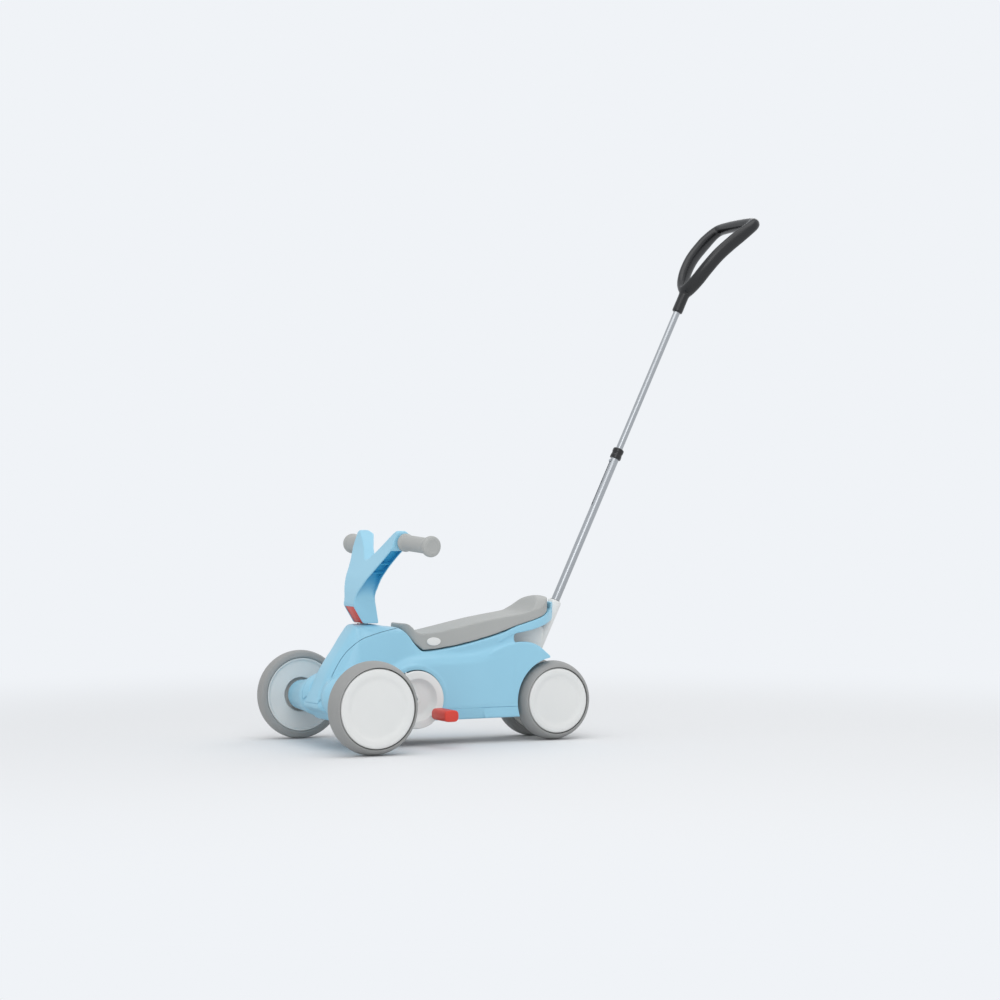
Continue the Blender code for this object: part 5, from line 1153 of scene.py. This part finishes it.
def make_handle():
    half = [
        (-0.3115, 0.0, 0.857), (-0.3155, 0.015, 0.865), (-0.3235, 0.028, 0.879), (-0.337, 0.04, 0.901),
        (-0.357, 0.0505, 0.927), (-0.383, 0.06, 0.952), (-0.408, 0.068, 0.973), (-0.424, 0.069, 0.9855),
        (-0.43, 0.058, 0.9903), (-0.4307, 0.03, 0.9917),
    ]
    line = half + [(-0.4307, 0.0, 0.992)] + [(x, -y, z) for x, y, z in reversed(half[1:])]
    line = flowing(line, 6, closed=True)
    across = Vector((0.75, 0, 0.66)).normalized()
    rings = []
    for before, here, after in zip(line[-1:] + line[:-1], line, line[1:] + line[:1]):
        along = (after - before).normalized()
        tall = (across - along * across.dot(along)).normalized()
        wide = along.cross(tall)
        # The section is oval, flatter at the neck and rounder where the palm closes round the cross bar
        slim = min(1.0, max(0.0, (-0.395 - here.x) / 0.03))
        deep, thick = 0.0138 - 0.0023 * slim, 0.009 + 0.0023 * slim
        rings.append([here + tall * deep * p.y + wide * thick * p.x for p in arc((0, 0), 1, 0, 350, 35)])
    loop = skinned(rings, endless=True)
    neck = turned(softened([(0, 0.618), (0.0105, 0.618), (0.0102, 0.655), (0.0125, 0.672), (0, 0.674)],
                           [0, 0.0012, 0.01, 0.006, 0], closed=False), POLE_BASE, POLE_AXIS)
    form = moulded(0.0013, 9, loop, neck)
    form = cut(form, rod(POLE_BASE, POLE_AXIS, 0.608, POLE_TOP + GAP, UPPER_TUBE_RADIUS + GAP, 0))
    shown(form, "loop_handle", "push_bar_upper", "black_plastic", "handle")


def finish_hidden_nodes():
    """The inner nodes whose own shape stays, each with its finish."""
    finish_of = {piece["node"]: piece["material_slot"] for piece in frame["record"]["subparts"]}
    for name, node in frame["nodes"].items():
        for place in node.material_slots:
            place.material = FINISHES[finish_of[name]]


make_body()
make_seat()
make_tail_frame()
make_handlebar()
make_grips()
make_steering_gear()
make_wheels()
make_cranks()
make_push_bar()
make_handle()
finish_hidden_nodes()


# Studio: a pale floor that fades into the backdrop's own colour, seen as it is written


def make_studio():
    scene = bpy.context.scene
    backdrop = "#F0F3F7"
    world = bpy.data.worlds.new("studio")
    world.use_nodes = True
    tree = world.node_tree
    tree.nodes.clear()
    path = add(tree, "ShaderNodeLightPath")
    seen = add(tree, "ShaderNodeMath", None, {0: (path, "Is Camera Ray"), 1: (path, "Is Glossy Ray")},
               operation="MAXIMUM")
    seen = add(tree, "ShaderNodeMath", None, {0: (seen, "Value"), 1: (path, "Is Transmission Ray")},
               operation="MAXIMUM")
    soft = add(tree, "ShaderNodeBackground", {"Color": linear("#F8F8F9"), "Strength": 0.76})
    plain = add(tree, "ShaderNodeBackground", {"Color": linear(backdrop), "Strength": 1.0})
    mixed = add(tree, "ShaderNodeMixShader", None,
                {0: (seen, "Value"), 1: (soft, "Background"), 2: (plain, "Background")})
    add(tree, "ShaderNodeOutputWorld", None, {"Surface": (mixed, "Shader")})
    scene.world = world

    floor = bmesh.new()
    bmesh.ops.create_circle(floor, cap_ends=True, segments=96, radius=40.0)
    floor = as_object(floor, "studio_floor")
    material, tree = blank("matt_studio_floor")
    place = add(tree, "ShaderNodeTexCoord")
    reach = add(tree, "ShaderNodeVectorMath", None, {0: (place, "Object")}, operation="LENGTH")
    far = add(tree, "ShaderNodeMapRange", {"From Min": 0.45, "From Max": 2.2}, {"Value": (reach, "Value")},
              interpolation_type="SMOOTHERSTEP")
    matt = add(tree, "ShaderNodeBsdfDiffuse", {"Color": linear("#E6E8EA")})
    plain = add(tree, "ShaderNodeEmission", {"Color": linear(backdrop), "Strength": 1.0})
    mixed = add(tree, "ShaderNodeMixShader", None,
                {0: (far, "Result"), 1: (matt, "BSDF"), 2: (plain, "Emission")})
    add(tree, "ShaderNodeOutputMaterial", None, {"Surface": (mixed, "Shader")})
    floor.data.materials.append(material)

    for name, spot, aim, size, power in (
        ("overhead_softbox", (0.3, 0.8, 3.0), (0, 0, 0.2), 2.6, 26.0),
        ("side_softbox", (1.6, 3.0, 1.9), (0, 0, 0.3), 1.8, 19.0),
        ("back_softbox", (-2.2, -2.0, 2.2), (0, 0, 0.4), 1.8, 16.0),
    ):
        lamp = bpy.data.lights.new(name, "AREA")
        lamp.shape = "SQUARE"
        lamp.size = size
        lamp.energy = power
        obj = bpy.data.objects.new(name, lamp)
        obj.location = spot
        obj.rotation_euler = (Vector(aim) - Vector(spot)).to_track_quat("-Z", "Y").to_euler()
        scene.collection.objects.link(obj)

    camera = bpy.data.cameras.new("product_camera")
    camera.lens = 86.4
    camera.sensor_width = 36.0
    camera.clip_end = 100.0
    eye, target = Vector((2.0801 + REAR_AXLE_X, 4.0444, 0.437)), Vector((0.09 + REAR_AXLE_X, 0, 0.4488))
    obj = bpy.data.objects.new("product_camera", camera)
    obj.location = eye
    turn = (target - eye).to_track_quat("-Z", "Y").to_matrix()
    obj.rotation_euler = (turn @ Matrix.Rotation(math.radians(0.15), 3, "Z")).to_euler()
    scene.collection.objects.link(obj)
    scene.camera = obj
    scene.view_settings.view_transform = "Standard"


make_studio()
